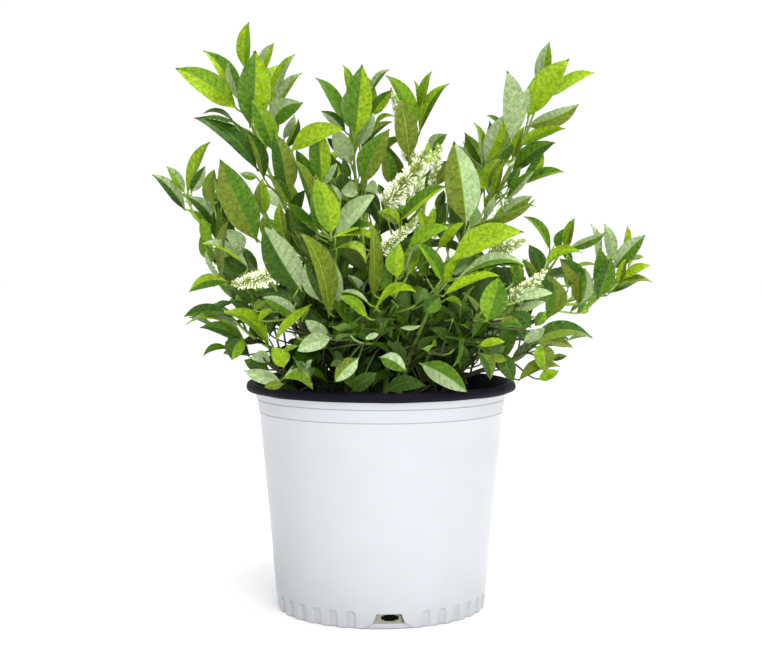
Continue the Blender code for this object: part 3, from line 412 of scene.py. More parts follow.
SPIKES_BEHIND = (
    ("back_tall", 0.060, 0.0110, 0.0, (0.045, 0.115, 0.430), (0.035, 0.130, 0.480)),
    ("back_left_tall", 0.050, 0.0110, 0.1, (-0.095, 0.140, 0.405), (-0.105, 0.160, 0.445)),
    ("back_right_tall", 0.050, 0.0110, 0.1, (0.130, 0.145, 0.400), (0.150, 0.160, 0.435)),
)
RACEMES = [Raceme(*row, seen_at(foot, near), seen_at(tip, far)) for *row, foot, near, tip, far in SPIKES_SEEN]
RACEMES += [Raceme(*row, Vector(foot), Vector(tip)) for *row, foot, tip in SPIKES_BEHIND]

# Leading leaves, read in the photograph, by the shoot they are on. Each row has the leaf's base,
# middle and tip in its pixels, its base's depth and the width as it is seen in metres, and the tones of
# its left and right halves, or the one tone of both.
# The tones of a leaf's halves are partly its own colour and partly painted sunlight on one half and painted
# shade on the other; the glossy grey-green tone is a painted sheen.
Lead = namedtuple("Lead", "shoot base middle tip depth width tones")
READ_LEAVES = {
    "left_tall": (
        (245, 70, 244, 47, 248, 22, -.03, .015, "bright fresh"),
        (238, 110, 207, 84, 176, 68, -.04, .026, "bright fresh"),
        (241, 104, 226, 74, 204, 50, -.025, .018, "bright mid"),
        (239, 99, 231, 80, 228, 62, -.045, .008, "silver"),
        (250, 128, 255, 89, 255, 51, -.06, .033, "mid bright"),
        (274, 153, 264, 122, 251, 99, -.065, .02, "mid fresh"),
        (287, 199, 284, 166, 274, 132, -.075, .023, "dark olive"),
        (264, 181, 259, 155, 246, 130, -.062, .013, "olive dark"),
        (258, 172, 230, 134, 195, 117, -.05, .022, "dark"),
        (238, 127, 220, 120, 200, 119, -.056, .005, "silver"),
        (236, 124, 220, 112, 203, 113, -.045, .005, "dark"),
        (258, 243, 238, 200, 220, 160, -.08, .033, "olive mid"),
        (264, 217, 262, 198, 262, 179, -.078, .016, "olive fresh"),
        (292, 206, 282, 190, 272, 175, -.08, .01, "olive dark"),
        (284, 238, 281, 222, 279, 203, -.08, .012, "fresh olive"),
        (292, 235, 290, 222, 288, 207, -.076, .01, "dark olive"),
        (270, 241, 266, 228, 266, 212, -.085, .012, "olive mid"),
        (258, 177, 249, 176, 240, 173, -.06, .008, "fresh pale"),
    ),
    "left_tall_fork": (
        (264, 72, 265, 58, 274, 43, -.02, .012, "silver bright"),
        (270, 95, 282, 72, 294, 54, -.025, .012, "bright silver"),
        (271, 116, 285, 91, 301, 72, -.03, .013, "silver fresh"),
        (272, 128, 285, 107, 303, 103, -.04, .024, "silver mid"),
        (285, 150, 293, 135, 299, 119, -.05, .008, "bright dark"),
        (289, 153, 313, 134, 343, 129, -.07, .02, "bright"),
        (283, 140, 289, 128, 295, 115, -.048, .008, "silver"),
    ),
    "left_arm": (
        (187, 195, 194, 169, 209, 141, -.02, .014, "bright fresh"),
        (186, 212, 170, 188, 153, 174, -.02, .012, "dark silver"),
        (185, 194, 176, 177, 167, 166, -.015, .01, "fresh silver"),
        (190, 193, 199, 180, 205, 166, -.03, .012, "dark silver"),
        (217, 230, 203, 206, 187, 196, -.035, .015, "dark silver"),
        (216, 212, 212, 192, 213, 174, -.06, .007, "olive"),
        (208, 246, 206, 233, 201, 218, -.04, .012, "fresh"),
        (215, 240, 217, 222, 217, 205, -.045, .012, "dark mid"),
    ),
    "left_arm_fork": (
        (222, 281, 221, 250, 227, 220, -.06, .011, "olive"),
        (221, 280, 213, 266, 205, 250, -.05, .007, "silver"),
        (251, 272, 228, 250, 201, 243, -.075, .009, "bright silver"),
        (243, 252, 238, 240, 227, 229, -.065, .016, "pale"),
        (229, 282, 207, 281, 189, 292, -.065, .014, "mid bright"),
        (248, 270, 236, 266, 226, 257, -.055, .018, "dark"),
        (258, 270, 250, 257, 242, 247, -.07, .006, "dark"),
    ),
    "left_low": (
        (228, 313, 205, 311, 184, 316, -.06, .013, "mid dark"),
        (249, 349, 222, 322, 187, 323, -.08, .008, "bright silver"),
        (248, 345, 227, 331, 200, 327, -.07, .012, "dark mid"),
        (243, 338, 234, 348, 232, 360, -.075, .02, "fresh dark"),
        (230, 349, 214, 348, 203, 356, -.07, .007, "mid"),
        (270, 349, 250, 321, 222, 312, -.085, .015, "fresh bright"),
    ),
    "left_rim": (
        (271, 362, 261, 356, 250, 358, -.09, .012, "silver"),
        (284, 368, 281, 356, 272, 347, -.105, .017, "bright"),
        (282, 352, 290, 348, 298, 346, -.11, .005, "bright"),
        (281, 381, 259, 375, 244, 371, -.095, .014, "pale silver"),
        (281, 381, 299, 370, 313, 391, -.1, .019, "silver fresh"),
        (270, 370, 256, 365, 244, 360, -.085, .014, "dark"),
        (284, 384, 274, 385, 264, 387, -.105, .009, "olive"),
    ),
    "front_left": (
        (258, 321, 265, 313, 274, 309, -.09, .007, "bright"),
        (253, 311, 259, 304, 268, 302, -.085, .007, "fresh"),
        (252, 311, 241, 305, 231, 301, -.06, .01, "dark"),
        (312, 304, 293, 319, 275, 341, -.12, .01, "bright"),
        (299, 318, 282, 306, 262, 297, -.105, .014, "mid silver"),
        (302, 292, 279, 256, 263, 226, -.105, .033, "dark silver"),
        (251, 305, 244, 295, 234, 287, -.065, .01, "dark"),
        (300, 303, 275, 294, 255, 294, -.095, .01, "dark"),
    ),
    "front_left_mid": (
        (329, 318, 321, 268, 302, 232, -.125, .02, "olive"),
        (321, 302, 310, 282, 305, 263, -.11, .014, "silver dark"),
        (329, 316, 333, 293, 334, 262, -.11, .014, "dark silver"),
        (331, 236, 327, 206, 315, 178, -.12, .024, "fresh bright"),
        (334, 236, 354, 211, 375, 194, -.11, .018, "silver pale"),
        (331, 238, 354, 233, 379, 243, -.125, .009, "bright"),
        (332, 250, 350, 244, 366, 264, -.12, .009, "bright"),
        (318, 234, 302, 216, 286, 203, -.085, .009, "mid"),
        (319, 225, 308, 188, 294, 158, -.075, .014, "dark olive"),
        (318, 236, 304, 229, 290, 226, -.08, .012, "dark"),
        (322, 233, 317, 215, 311, 196, -.09, .012, "mid olive"),
        (341, 203, 336, 193, 331, 184, -.08, .009, "olive pale"),
        (298, 215, 298, 200, 305, 190, -.06, .012, "dark"),
    ),
    "middle_tall": (
        (321, 182, 320, 155, 317, 127, -.06, .022, "mid bright"),
        (355, 137, 359, 98, 362, 65, -.06, .028, "mid bright"),
        (347, 126, 333, 100, 317, 77, -.035, .013, "mid"),
        (350, 128, 346, 110, 345, 92, -.05, .006, "silver"), (352, 100, 349, 82, 344, 65, -.02, .01, "fresh"),
        (346, 133, 333, 118, 321, 111, -.04, .012, "silver dark"),
        (352, 165, 342, 145, 334, 127, -.05, .019, "silver"),
        (351, 178, 346, 168, 343, 158, -.056, .008, "dark"),
        (344, 156, 336, 146, 327, 138, -.045, .01, "dark"),
        (362, 186, 371, 160, 389, 129, -.07, .022, "mid olive"),
        (358, 193, 349, 189, 341, 192, -.075, .016, "pale silver"),
        (364, 190, 371, 186, 378, 194, -.08, .012, "silver"),
        (316, 178, 305, 165, 296, 150, -.06, .012, "dark mid"),
        (341, 190, 343, 181, 343, 172, -.06, .014, "dark"),
        (325, 185, 330, 175, 337, 163, -.055, .008, "pale"),
        (369, 175, 375, 168, 381, 163, -.05, .008, "dark"),
    ),
    "middle_tall_fork": (
        (370, 94, 378, 78, 389, 69, -.005, .009, "silver mid"),
        (358, 147, 365, 132, 374, 112, -.03, .013, "silver pale"),
        (370, 117, 380, 103, 392, 90, -.015, .014, "mid bright"),
        (374, 130, 384, 116, 394, 116, -.02, .006, "fresh"),
        (360, 148, 376, 130, 392, 121, -.03, .01, "olive dark"),
    ),
    "middle_right": (
        (415, 132, 404, 98, 387, 75, -.03, .017, "mid fresh"),
        (409, 160, 406, 128, 400, 98, -.06, .023, "olive"),
        (419, 136, 430, 103, 448, 83, -.03, .012, "bright mid"),
        (420, 112, 424, 92, 431, 71, -.02, .01, "fresh bright"),
        (391, 187, 389, 168, 385, 149, -.05, .015, "olive mid"),
        (398, 222, 424, 199, 447, 185, -.08, .014, "mid bright"),
        (400, 226, 390, 214, 377, 212, -.095, .013, "olive bright"),
        (419, 112, 417, 95, 415, 80, -.015, .005, "fresh"),
        (384, 197, 381, 190, 378, 184, -.07, .007, "olive dark"),
    ),
    "middle_right_fork": (
        (432, 153, 434, 143, 447, 134, -.02, .014, "silver mid"),
        (466, 226, 462, 185, 454, 142, -.09, .034, "olive pale"),
        (437, 186, 442, 176, 452, 160, -.07, .011, "olive"),
        (437, 212, 440, 202, 444, 190, -.072, .01, "olive dark"),
        (447, 218, 449, 195, 450, 172, -.08, .008, "pale olive"),
        (427, 228, 422, 218, 420, 208, -.085, .009, "bright"),
        (428, 228, 432, 218, 434, 207, -.085, .008, "bright"),
        (438, 226, 440, 214, 446, 203, -.075, .014, "dark"),
        (464, 224, 456, 216, 450, 208, -.07, .016, "dark"),
    ),
    "front_mid": (
        (406, 251, 424, 235, 450, 227, -.115, .014, "fresh"),
        (443, 283, 434, 262, 417, 243, -.118, .014, "fresh mid"),
        (446, 286, 449, 270, 458, 257, -.115, .01, "bright"),
        (437, 250, 450, 235, 464, 222, -.105, .009, "bright"),
    ),
    "front_right_mid": (
        (450, 262, 484, 239, 523, 231, -.13, .023, "bright"),
        (441, 297, 468, 281, 500, 275, -.13, .01, "bright"),
        (455, 281, 486, 262, 526, 265, -.125, .012, "silver mid"),
        (478, 276, 505, 263, 524, 270, -.132, .008, "bright"),
        (440, 296, 433, 303, 424, 312, -.125, .018, "mid dark"),
        (459, 350, 445, 335, 430, 328, -.11, .01, "dark"),
        (443, 300, 453, 299, 462, 307, -.13, .006, "fresh"),
    ),
    "right_tall": (
        (540, 90, 544, 62, 549, 42, 0, .016, "silver fresh"),
        (527, 119, 543, 88, 569, 59, -.03, .026, "bright"),
        (512, 160, 517, 142, 524, 126, -.04, .01, "bright olive"),
        (508, 190, 513, 178, 521, 166, -.045, .01, "dark mid"),
        (547, 99, 570, 81, 594, 72, -.005, .013, "bright"),
        (526, 127, 552, 118, 579, 105, -.03, .017, "silver olive"),
        (518, 147, 542, 133, 565, 128, -.03, .014, "bright fresh"),
        (511, 174, 530, 154, 555, 142, -.03, .017, "mid dark"),
        (523, 179, 536, 167, 543, 151, -.025, .013, "mid bright"),
        (518, 186, 545, 174, 564, 171, -.035, .01, "mid fresh"),
    ),
    "right_tall_fork": (
        (511, 142, 513, 107, 508, 71, -.045, .024, "silver"),
        (521, 120, 524, 103, 528, 87, -.035, .012, "pale"),
        (483, 172, 482, 146, 475, 122, -.03, .011, "silver fresh"),
        (487, 152, 489, 137, 490, 121, -.028, .009, "dark"),
        (485, 166, 495, 139, 507, 113, -.04, .018, "silver bright"),
        (482, 166, 473, 150, 465, 134, -.03, .007, "mid"),
        (488, 190, 481, 180, 475, 168, -.05, .012, "bright fresh"),
        (486, 190, 489, 174, 500, 158, -.045, .016, "fresh olive"),
        (492, 198, 497, 181, 503, 163, -.052, .009, "fresh olive"),
        (516, 157, 510, 163, 502, 163, -.055, .006, "pale olive"),
        (487, 217, 490, 207, 494, 197, -.062, .008, "silver pale"),
        (503, 214, 517, 204, 532, 196, -.045, .013, "silver olive"),
        (468, 228, 505, 215, 535, 202, -.06, .008, "fresh olive"),
        (506, 131, 497, 121, 487, 115, -.025, .006, "mid"),
        (478, 170, 471, 163, 465, 155, -.035, .007, "dark olive"),
        (502, 160, 508, 152, 514, 144, -.05, .008, "dark"),
        (505, 200, 519, 185, 534, 170, -.045, .009, "mid silver"),
        (490, 215, 489, 202, 495, 190, -.06, .008, "olive"),
    ),
    "right_arm": (
        (551, 254, 543, 233, 525, 216, -.04, .01, "fresh mid"),
        (560, 252, 558, 240, 566, 228, -.025, .009, "mid"),
        (565, 251, 568, 235, 574, 218, -.03, .01, "fresh olive"),
        (568, 250, 586, 242, 606, 233, -.025, .011, "silver mid"),
        (544, 270, 554, 256, 582, 252, -.05, .009, "bright fresh"),
        (540, 275, 537, 258, 529, 245, -.055, .016, "dark"),
        (546, 320, 556, 296, 547, 274, -.045, .022, "mid olive"),
        (584, 286, 572, 270, 560, 259, -.04, .018, "olive dark"),
        (580, 305, 586, 286, 585, 268, -.035, .015, "mid silver"),
        (553, 293, 548, 286, 543, 279, -.058, .009, "dark"),
        (536, 285, 531, 272, 523, 259, -.06, .01, "dark olive"),
        (579, 306, 578, 288, 580, 271, -.045, .008, "olive"),
    ),
    "far_right": (
        (597, 265, 596, 243, 592, 224, .01, .01, "pale"),
        (612, 262, 610, 243, 605, 224, .005, .014, "silver pale"),
        (624, 256, 626, 242, 628, 226, 0, .009, "bright"),
    ),
    "far_right_fork": (
        (613, 270, 627, 252, 645, 235, -.02, .017, "silver mid"),
        (628, 259, 636, 257, 644, 257, -.015, .006, "silver"),
        (622, 280, 634, 270, 650, 265, -.02, .009, "bright"),
        (607, 293, 630, 281, 652, 281, -.025, .007, "olive"),
        (597, 290, 601, 266, 600, 248, -.03, .016, "mid"),
        (597, 299, 604, 280, 611, 258, -.04, .02, "dark mid"),
        (618, 285, 622, 270, 626, 258, -.025, .008, "bright olive"),
    ),
    "front_right": (
        (487, 322, 494, 300, 499, 277, -.13, .026, "fresh mid"),
        (497, 326, 510, 321, 523, 328, -.115, .011, "olive mid"),
        (531, 328, 521, 317, 510, 312, -.105, .016, "dark"),
        (545, 311, 541, 318, 535, 326, -.08, .011, "fresh mid"),
        (518, 300, 536, 294, 553, 293, -.09, .009, "pale"), (512, 284, 518, 277, 523, 268, -.095, .01, "mid"),
        (512, 315, 528, 307, 544, 302, -.08, .008, "silver"),
    ),
    "right_low": (
        (526, 348, 562, 330, 592, 337, -.1, .016, "dark olive"),
        (540, 340, 560, 343, 573, 347, -.085, .009, "olive"),
        (541, 342, 544, 356, 545, 372, -.105, .02, "olive fresh"),
        (517, 383, 535, 368, 560, 366, -.105, .01, "olive"),
        (523, 343, 535, 335, 545, 328, -.095, .012, "silver"),
        (477, 352, 488, 362, 490, 380, -.115, .013, "olive dark"),
        (497, 352, 507, 366, 513, 382, -.1, .016, "dark"),
        (550, 360, 558, 357, 567, 356, -.09, .007, "olive dark"),
        (538, 380, 549, 374, 559, 371, -.1, .011, "bright fresh"),
        (478, 346, 491, 342, 505, 342, -.125, .008, "bright"),
        (508, 360, 496, 358, 486, 357, -.11, .008, "olive"),
        (514, 381, 508, 371, 500, 362, -.095, .011, "dark"),
    ),
    "front": (
        (373, 313, 385, 295, 417, 292, -.145, .008, "bright"),
        (370, 305, 357, 295, 341, 292, -.13, .005, "fresh silver"),
        (368, 319, 354, 303, 339, 296, -.135, .01, "fresh"),
        (374, 300, 374, 252, 372, 222, -.12, .015, "olive"),
        (398, 279, 395, 259, 400, 243, -.13, .018, "fresh bright"),
        (399, 280, 406, 263, 412, 250, -.125, .006, "fresh pale"),
        (385, 292, 386, 277, 386, 262, -.11, .013, "mid"), (400, 328, 411, 327, 421, 326, -.14, .005, "pale"),
    ),
    "front_fork": (
        (329, 334, 317, 329, 305, 320, -.125, .013, "silver"),
        (332, 338, 313, 342, 297, 351, -.13, .017, "pale silver"),
        (359, 358, 346, 368, 335, 382, -.125, .017, "pale olive"),
        (351, 392, 362, 382, 377, 373, -.112, .015, "dark"),
        (379, 334, 372, 336, 365, 339, -.135, .006, "pale"),
    ),
    "front_right_mid_fork": (
        (379, 357, 393, 361, 406, 371, -.125, .016, "pale mid"),
        (384, 392, 403, 383, 426, 386, -.108, .015, "dark"),
        (419, 363, 442, 373, 467, 392, -.115, .021, "mid silver"),
        (451, 313, 460, 340, 453, 368, -.125, .006, "mid"),
    ),
}
LEADS = [Lead(shoot, row[0:2], row[2:4], row[4:6], *row[6:])
         for shoot, rows in READ_LEAVES.items() for row in rows]

# Openings where the photograph shows the background through the crown: left, top, right and bottom
SKY = (
    (303, 143, 310, 152), (300, 155, 313, 177), (303, 195, 312, 225), (349, 164, 353, 174),
    (372, 170, 390, 190), (423, 200, 430, 215), (432, 195, 445, 208), (501, 180, 508, 200),
    (437, 250, 443, 262), (520, 245, 528, 258), (545, 255, 558, 268), (232, 175, 243, 190),
    (250, 240, 257, 258), (288, 322, 300, 340), (275, 330, 287, 345), (320, 352, 331, 370),
    (530, 305, 545, 330), (468, 362, 480, 375), (574, 250, 590, 264), (512, 214, 526, 228),
    (519, 224, 530, 243), (297, 166, 301, 180),
)

Leaf = namedtuple("Leaf", "root along face length width droop bow")
Stem = namedtuple("Stem", "line radius mesh end low")


class Line:
    """A smooth stem line, measured back from its tip."""

    def __init__(self, root, tip, rise, lift, steps=STEM_STEPS):
        chord = (tip - root).normalized()
        size = (tip - root).length
        leave = chord.lerp(UP, rise).normalized()
        arrive = chord.lerp(UP, lift).normalized()
        self.shape = (root, root + leave * size * ROOT_HANDLE, tip - arrive * size * TIP_HANDLE, tip)
        self.points = [bezier(*self.shape, i / steps) for i in range(steps + 1)]
        spans = ((b - a).length for a, b in zip(self.points, self.points[1:]))
        self.at = [0.0, *itertools.accumulate(spans)]
        self.length = self.at[-1]

    def point(self, back):
        distance = min(max(self.length - back, 0.0), self.length)
        i = next(i for i in range(1, len(self.at)) if distance <= self.at[i] + 1e-9)
        share = (distance - self.at[i - 1]) / (self.at[i] - self.at[i - 1])
        return self.points[i - 1].lerp(self.points[i], share)

    def heading(self, back):
        return (self.point(back - HEADING_STEP) - self.point(back + HEADING_STEP)).normalized()


def bezier(a, b, c, d, t):
    s = 1 - t
    return a * s**3 + b * (3 * s * s * t) + c * (3 * s * t * t) + d * t**3


def feet_of(canes):
    """Where each cane leaves the soil: towards its own tip, and no closer than the spacing."""
    feet = {cane.name: Vector(cane.tip[:2]) * FOOT_LEAN / cane.tip[2] for cane in canes}
    for _ in range(FOOT_PUSHES):
        for a, b in itertools.combinations(feet, 2):
            apart = feet[b] - feet[a]
            short = FOOT_SPACING - apart.length
            if short > 0:
                push = apart.normalized() * short / 2
                feet[a] -= push
                feet[b] += push
    return feet


def lines_of(shoots):
    feet = feet_of([shoot for shoot in shoots if shoot.parent is None])
    lines = {}
    for shoot in shoots:
        if shoot.parent is None:
            root, bends = feet[shoot.name].to_3d() + UP * (SOIL_TOP + GAP), (CANE_RISE, CANE_LIFT)
        else:
            root, bends = lines[shoot.parent].point(shoot.back), (FORK_RISE, FORK_LIFT)
        lines[shoot.name] = Line(root, Vector(shoot.tip), *bends)
    return lines


def across(axis, turn):
    """A direction square to the axis, turned round it."""
    side = (Vector((1, 0, 0)) - axis * axis.x).normalized() if abs(axis.x) < 0.9 else axis.orthogonal()
    return side * math.cos(turn) + axis.cross(side) * math.sin(turn)


def leaf_on(line, back, count, phase, size, rng):
    """The leaf at a distance back of the tip, counted from the tip down."""
    axis = line.heading(back)
    out = across(axis, phase + count * GOLDEN + rng.uniform(-LEAF_STRAY, LEAF_STRAY))
    grown = min(1.0, (count + 2) / FULL_GROWN)
    least, most = LEAF_LEAN
    lean = least + (most - least) * min(1.0, count / LEANT) + rng.uniform(-LEAN_STRAY, LEAN_STRAY)
    lean = math.radians(lean)
    along = (axis * math.cos(lean) + out * math.sin(lean) + UP * LEAF_RISE).normalized()
    face = axis * FACE_AHEAD + UP * FACE_UP + out * FACE_OUT
    face = (face - along * face.dot(along)).normalized()
    face = Matrix.Rotation(math.radians(rng.uniform(-LEAF_ROLL, LEAF_ROLL)), 3, along) @ face
    length = size * (YOUNG_SIZE + (1 - YOUNG_SIZE) * grown) * rng.uniform(*LEAF_LENGTHS)
    width = length * rng.uniform(*LEAF_WIDTHS)
    droop = math.radians(rng.uniform(*LEAF_DROOP)) * grown
    return Leaf(line.point(back), along, face, length, width, droop, 0.0)


def leaves_on(line, room, phase, size, rng):
    """The leaves over the leafy stretch of a line, from its tip down."""
    leaves = []
    back = FIRST_SPACE
    while back <= room:
        leaves.append(leaf_on(line, back, len(leaves), phase, size, rng))
        back += min(FIRST_SPACE + SPACE_GROWTH * len(leaves), MOST_SPACE)
    return leaves


def twig_on(line, back, reaches, rng):
    """A twig of the rule, the length of its leafy stretch and the turn of its first leaf."""
    root, axis = line.point(back), line.heading(back)
    out = across(axis, rng.uniform(0, 2 * math.pi))
    reach = rng.uniform(*reaches)
    tip = root + (axis * TWIG_AHEAD + out * TWIG_OUT + UP * TWIG_UP).normalized() * reach
    return Line(root, tip, TWIG_RISE, TWIG_LIFT, TWIG_STEPS), reach * TWIG_LEAFY, rng.uniform(0, 2 * math.pi)


def foliage_of(shoot, line):
    """The leaves that stand on a shoot's own line, and its twigs, each with the leaves on it."""
    rng = random.Random(shoot.name)
    room = line.length * (1 - shoot.bare)
    leaves = leaves_on(line, room, rng.uniform(0, 2 * math.pi), shoot.leaf, rng)
    twigs = []
    for _ in range(shoot.twigs):
        twig, leafy, turn = twig_on(line, rng.uniform(*TWIG_PLACES) * room, TWIG_REACH, rng)
        twigs.append((twig, leaves_on(twig, leafy, turn, shoot.leaf * TWIG_LEAF_SHARE, rng)))
    return leaves, twigs


def finer_twigs(shoot, line, rng):
    """Finer twigs than the solids have, where the photographed crown is dense."""
    room = line.length * (1 - shoot.bare)
    starts = [rng.uniform(*EXTRA_PLACES) * room for _ in range(EXTRA_TWIGS)]
    if shoot.parent is None:
        starts += [rng.uniform(room, FOOT_PLACES * line.length) for _ in range(FOOT_TWIGS)]
    size = shoot.leaf * TWIG_LEAF_SHARE * EXTRA_LEAF
    twigs = []
    for back in starts:
        twig, leafy, turn = twig_on(line, back, EXTRA_REACH, rng)
        if line.point(back).z <= EXTRA_TOP:
            twigs.append((twig, leaves_on(twig, leafy, turn, size, rng)))
    return twigs


def arch(bend, share):
    """How far ahead and down an arched leaf is at a share of its length, in lengths."""
    return share - bend**2 * share**5 / 10, bend * share**3 / 3 - bend**3 * share**7 / 42


def on_leaf(leaf, share, aside=0.0):
    """A point of the leaf at a share of its length, a step aside of its middle line."""
    ahead, fall = arch(leaf.droop, share)
    side = leaf.along.cross(leaf.face)
    aside += 4 * leaf.bow * share * (1 - share)
    return leaf.root + leaf.along * (ahead * leaf.length) - leaf.face * (fall * leaf.length) + side * aside


def lead_leaf(lead):
    """The leaf whose base, middle and tip stand where a lead has them, arched over."""
    base = seen_at(lead.base, lead.depth)
    forward = (seen_at(lead.tip, lead.depth) - base).length * LEAD_FORWARD
    chord = seen_at(lead.tip, lead.depth - forward) - base
    middle = seen_at(lead.middle, lead.depth - forward / 2) - base
    run, fall = arch(LEAD_BEND, 1)
    length = chord.length / math.hypot(run, fall)
    ahead = chord.normalized()
    face = (FRONT - ahead * FRONT.dot(ahead)).normalized()
    bow = middle.dot(ahead.cross(face))
    shown = min(1.0, max(LEAST_SHOWN, lead.width / (length * LEAD_SHARE)))
    turn = math.copysign(math.acos(shown), bow)
    bow = (bow - length * LEAD_BEND / 8 * math.sin(turn)) / shown
    face = Matrix.Rotation(turn, 3, ahead) @ face
    dip = math.atan2(fall, run)
    along = ahead * math.cos(dip) + face * math.sin(dip)
    upper = face * math.cos(dip) - ahead * math.sin(dip)
    return Leaf(base, along, upper, length, lead.width / shown, LEAD_BEND, bow)


def lead_twig(leaf, shoot, line):
    """The fine twig that carries a leading leaf, leaving the shoot a little below it."""
    room = line.length * (1 - shoot.bare)
    seat = on_leaf(leaf, LEAD_SEAT)
    near = min((room * i / LEAD_SPOTS for i in range(LEAD_SPOTS + 1)),
               key=lambda back: (line.point(back) - seat).length)
    gap = (line.point(near) - seat).length
    root = line.point(min(near + max(LEAD_TWIG_SHARE * gap, LEAST_TWIG), room))
    return Line(root, seat, LEAD_RISE, LEAD_LIFT, LEAD_TWIG_STEPS)


def in_picture(place):
    """Where the photograph shows a place, as a slope to the side and a slope upwards."""
    sight = Matrix.Rotation(-VIEW_PITCH, 3, "X") @ (place - VIEW_FROM)
    return sight.x / sight.y, sight.z / sight.y


def in_crown(leaf, crown):
    """Whether a leaf is, as seen from the front, near enough to the leading leaves."""
    for share in (0.6, 1.0):
        beside, above = in_picture(on_leaf(leaf, share))
        if all(math.hypot(beside - x, above - y) > EDGE / -VIEW_FROM.y for x, y in crown):
            return False
    return True


def deep_inside(leaf):
    """Whether a leaf is low and near the middle, where the crown is closed."""
    tip = on_leaf(leaf, 1.0)
    return abs(tip.x) < INNER_HALF and tip.z < INNER_TOP


def open_places(leads, lines):
    """What the other leaves leave in view: the leading leaves, the flower spikes and a few stems."""
    places = [(on_leaf(leaf, 0.12), on_leaf(leaf, 0.92), lead.width * LEAD_IN_VIEW)
              for lead, leaf in zip(LEADS, leads)]
    places += [(raceme.foot, raceme.tip, raceme.radius + SPIKE_IN_VIEW) for raceme in RACEMES]
    for name, low, high in STEMS_IN_VIEW:
        shape = lines[name].shape
        places.append((bezier(*shape, low), bezier(*shape, high), STEM_IN_VIEW))
    return places


def stands_before(leaf, places):
    """Whether a leaf hangs before one of the places that are kept open to the nearer side."""
    spots = [on_leaf(leaf, share) for share in (0.25, 0.5, 0.75, 1.0)]
    spots += [on_leaf(leaf, 0.5, side * leaf.width) for side in (-MARGIN, MARGIN)]
    for spot, (low, high, radius) in itertools.product(spots, places):
        front = low.y < MIDDLE_DEPTH
        shift = (low.y - VIEW_FROM.y) / (spot.y - VIEW_FROM.y) if front else 1.0
        seen = VIEW_FROM + (spot - VIEW_FROM) * shift
        span = high - low
        part = ((seen.x - low.x) * span.x + (seen.z - low.z) * span.z) / (span.x**2 + span.z**2)
        nearest = low + span * max(0.0, min(1.0, part))
        ahead = nearest.y - spot.y if front else spot.y - nearest.y
        if math.hypot(seen.x - nearest.x, seen.z - nearest.z) < radius and ahead > -AHEAD_SPARE:
            return True
    return False


def before_sky(leaf):
    """Whether a leaf would close one of the openings of the crown."""
    for tenth, aside in itertools.product(range(1, 11), (-MARGIN, 0.0, MARGIN)):
        half = math.sin(math.pi * tenth / 10) * leaf.width
        beside, above = in_picture(on_leaf(leaf, tenth / 10, aside * half))
        x = PICTURE_MIDDLE[0] + FOCAL_PIXELS * beside
        y = PICTURE_MIDDLE[1] - FOCAL_PIXELS * above
        if any(left < x < right and top < y < bottom for left, top, right, bottom in SKY):
            return True
    return False


def clear_of_rim(leaf):
    """Whether a leaf stays off the soil and doesn't hang over the rim."""
    for share in (0.5, 0.8, 1.0):
        spot = on_leaf(leaf, share)
        if spot.z < RIM_CLEAR_HEIGHT and math.hypot(spot.x, spot.y) > RIM_CLEAR_RADIUS:
            return False
        if spot.z < SOIL_TOP + SOIL_CLEAR:
            return False
    return True


def in_box(leaf, low, high):
    return all(a - BOX_SPARE < c < b + BOX_SPARE for a, c, b in zip(low, on_leaf(leaf, 1.0), high))


def has_room(leaf, box, crown, places):
    """Whether a leaf of the rule stays: in the box and the crown, and before nothing kept in view."""
    return (in_box(leaf, *box) and clear_of_rim(leaf) and (deep_inside(leaf) or in_crown(leaf, crown))
            and not before_sky(leaf) and not stands_before(leaf, places))


def tones_of(leaf, young, rng):
    """The tones of both halves: painted shade low and inside the crown and brighter high up and outside,
    brighter on young leaves, and painted sunlight on the sunny half.
    """
    middle = on_leaf(leaf, 0.6)
    base, span = LIT_HEIGHT
    # Low and inner leaves get darker tones as painted shade, high and outer ones brighter.
    light = (middle.z - base) / span + LIT_OUT * (math.hypot(middle.x, middle.y) / LIT_RADIUS - LIT_FROM)
    light += (YOUNG_LIGHT if young else 0.0) + rng.uniform(-LIGHT_STRAY, LIGHT_STRAY)
    step = min(BRIGHTEST, max(0, round(LIGHT_STEPS * light)))
    odd, both = rng.random(), rng.random() < ONE_TONE
    for name, most in ODD_TONES:
        if odd < most and step > 1:
            return TONE_NAMES.index(name), TONE_NAMES.index(name) if both else step
    other = step if both else max(0, step - 1)
    # The half facing the sun gets the brighter tone as painted sunlight, the other half the darker one as
    # painted shade.
    sunny_left = leaf.along.cross(leaf.face).dot(SUN_SIDE) > 0
    return (step, other) if sunny_left else (other, step)


def share_at(line, place):
    """The share of a line's curve that ends nearest to a place."""
    return min(TWIG_ENDS, key=lambda share: (bezier(*line.shape, share) - place).length)


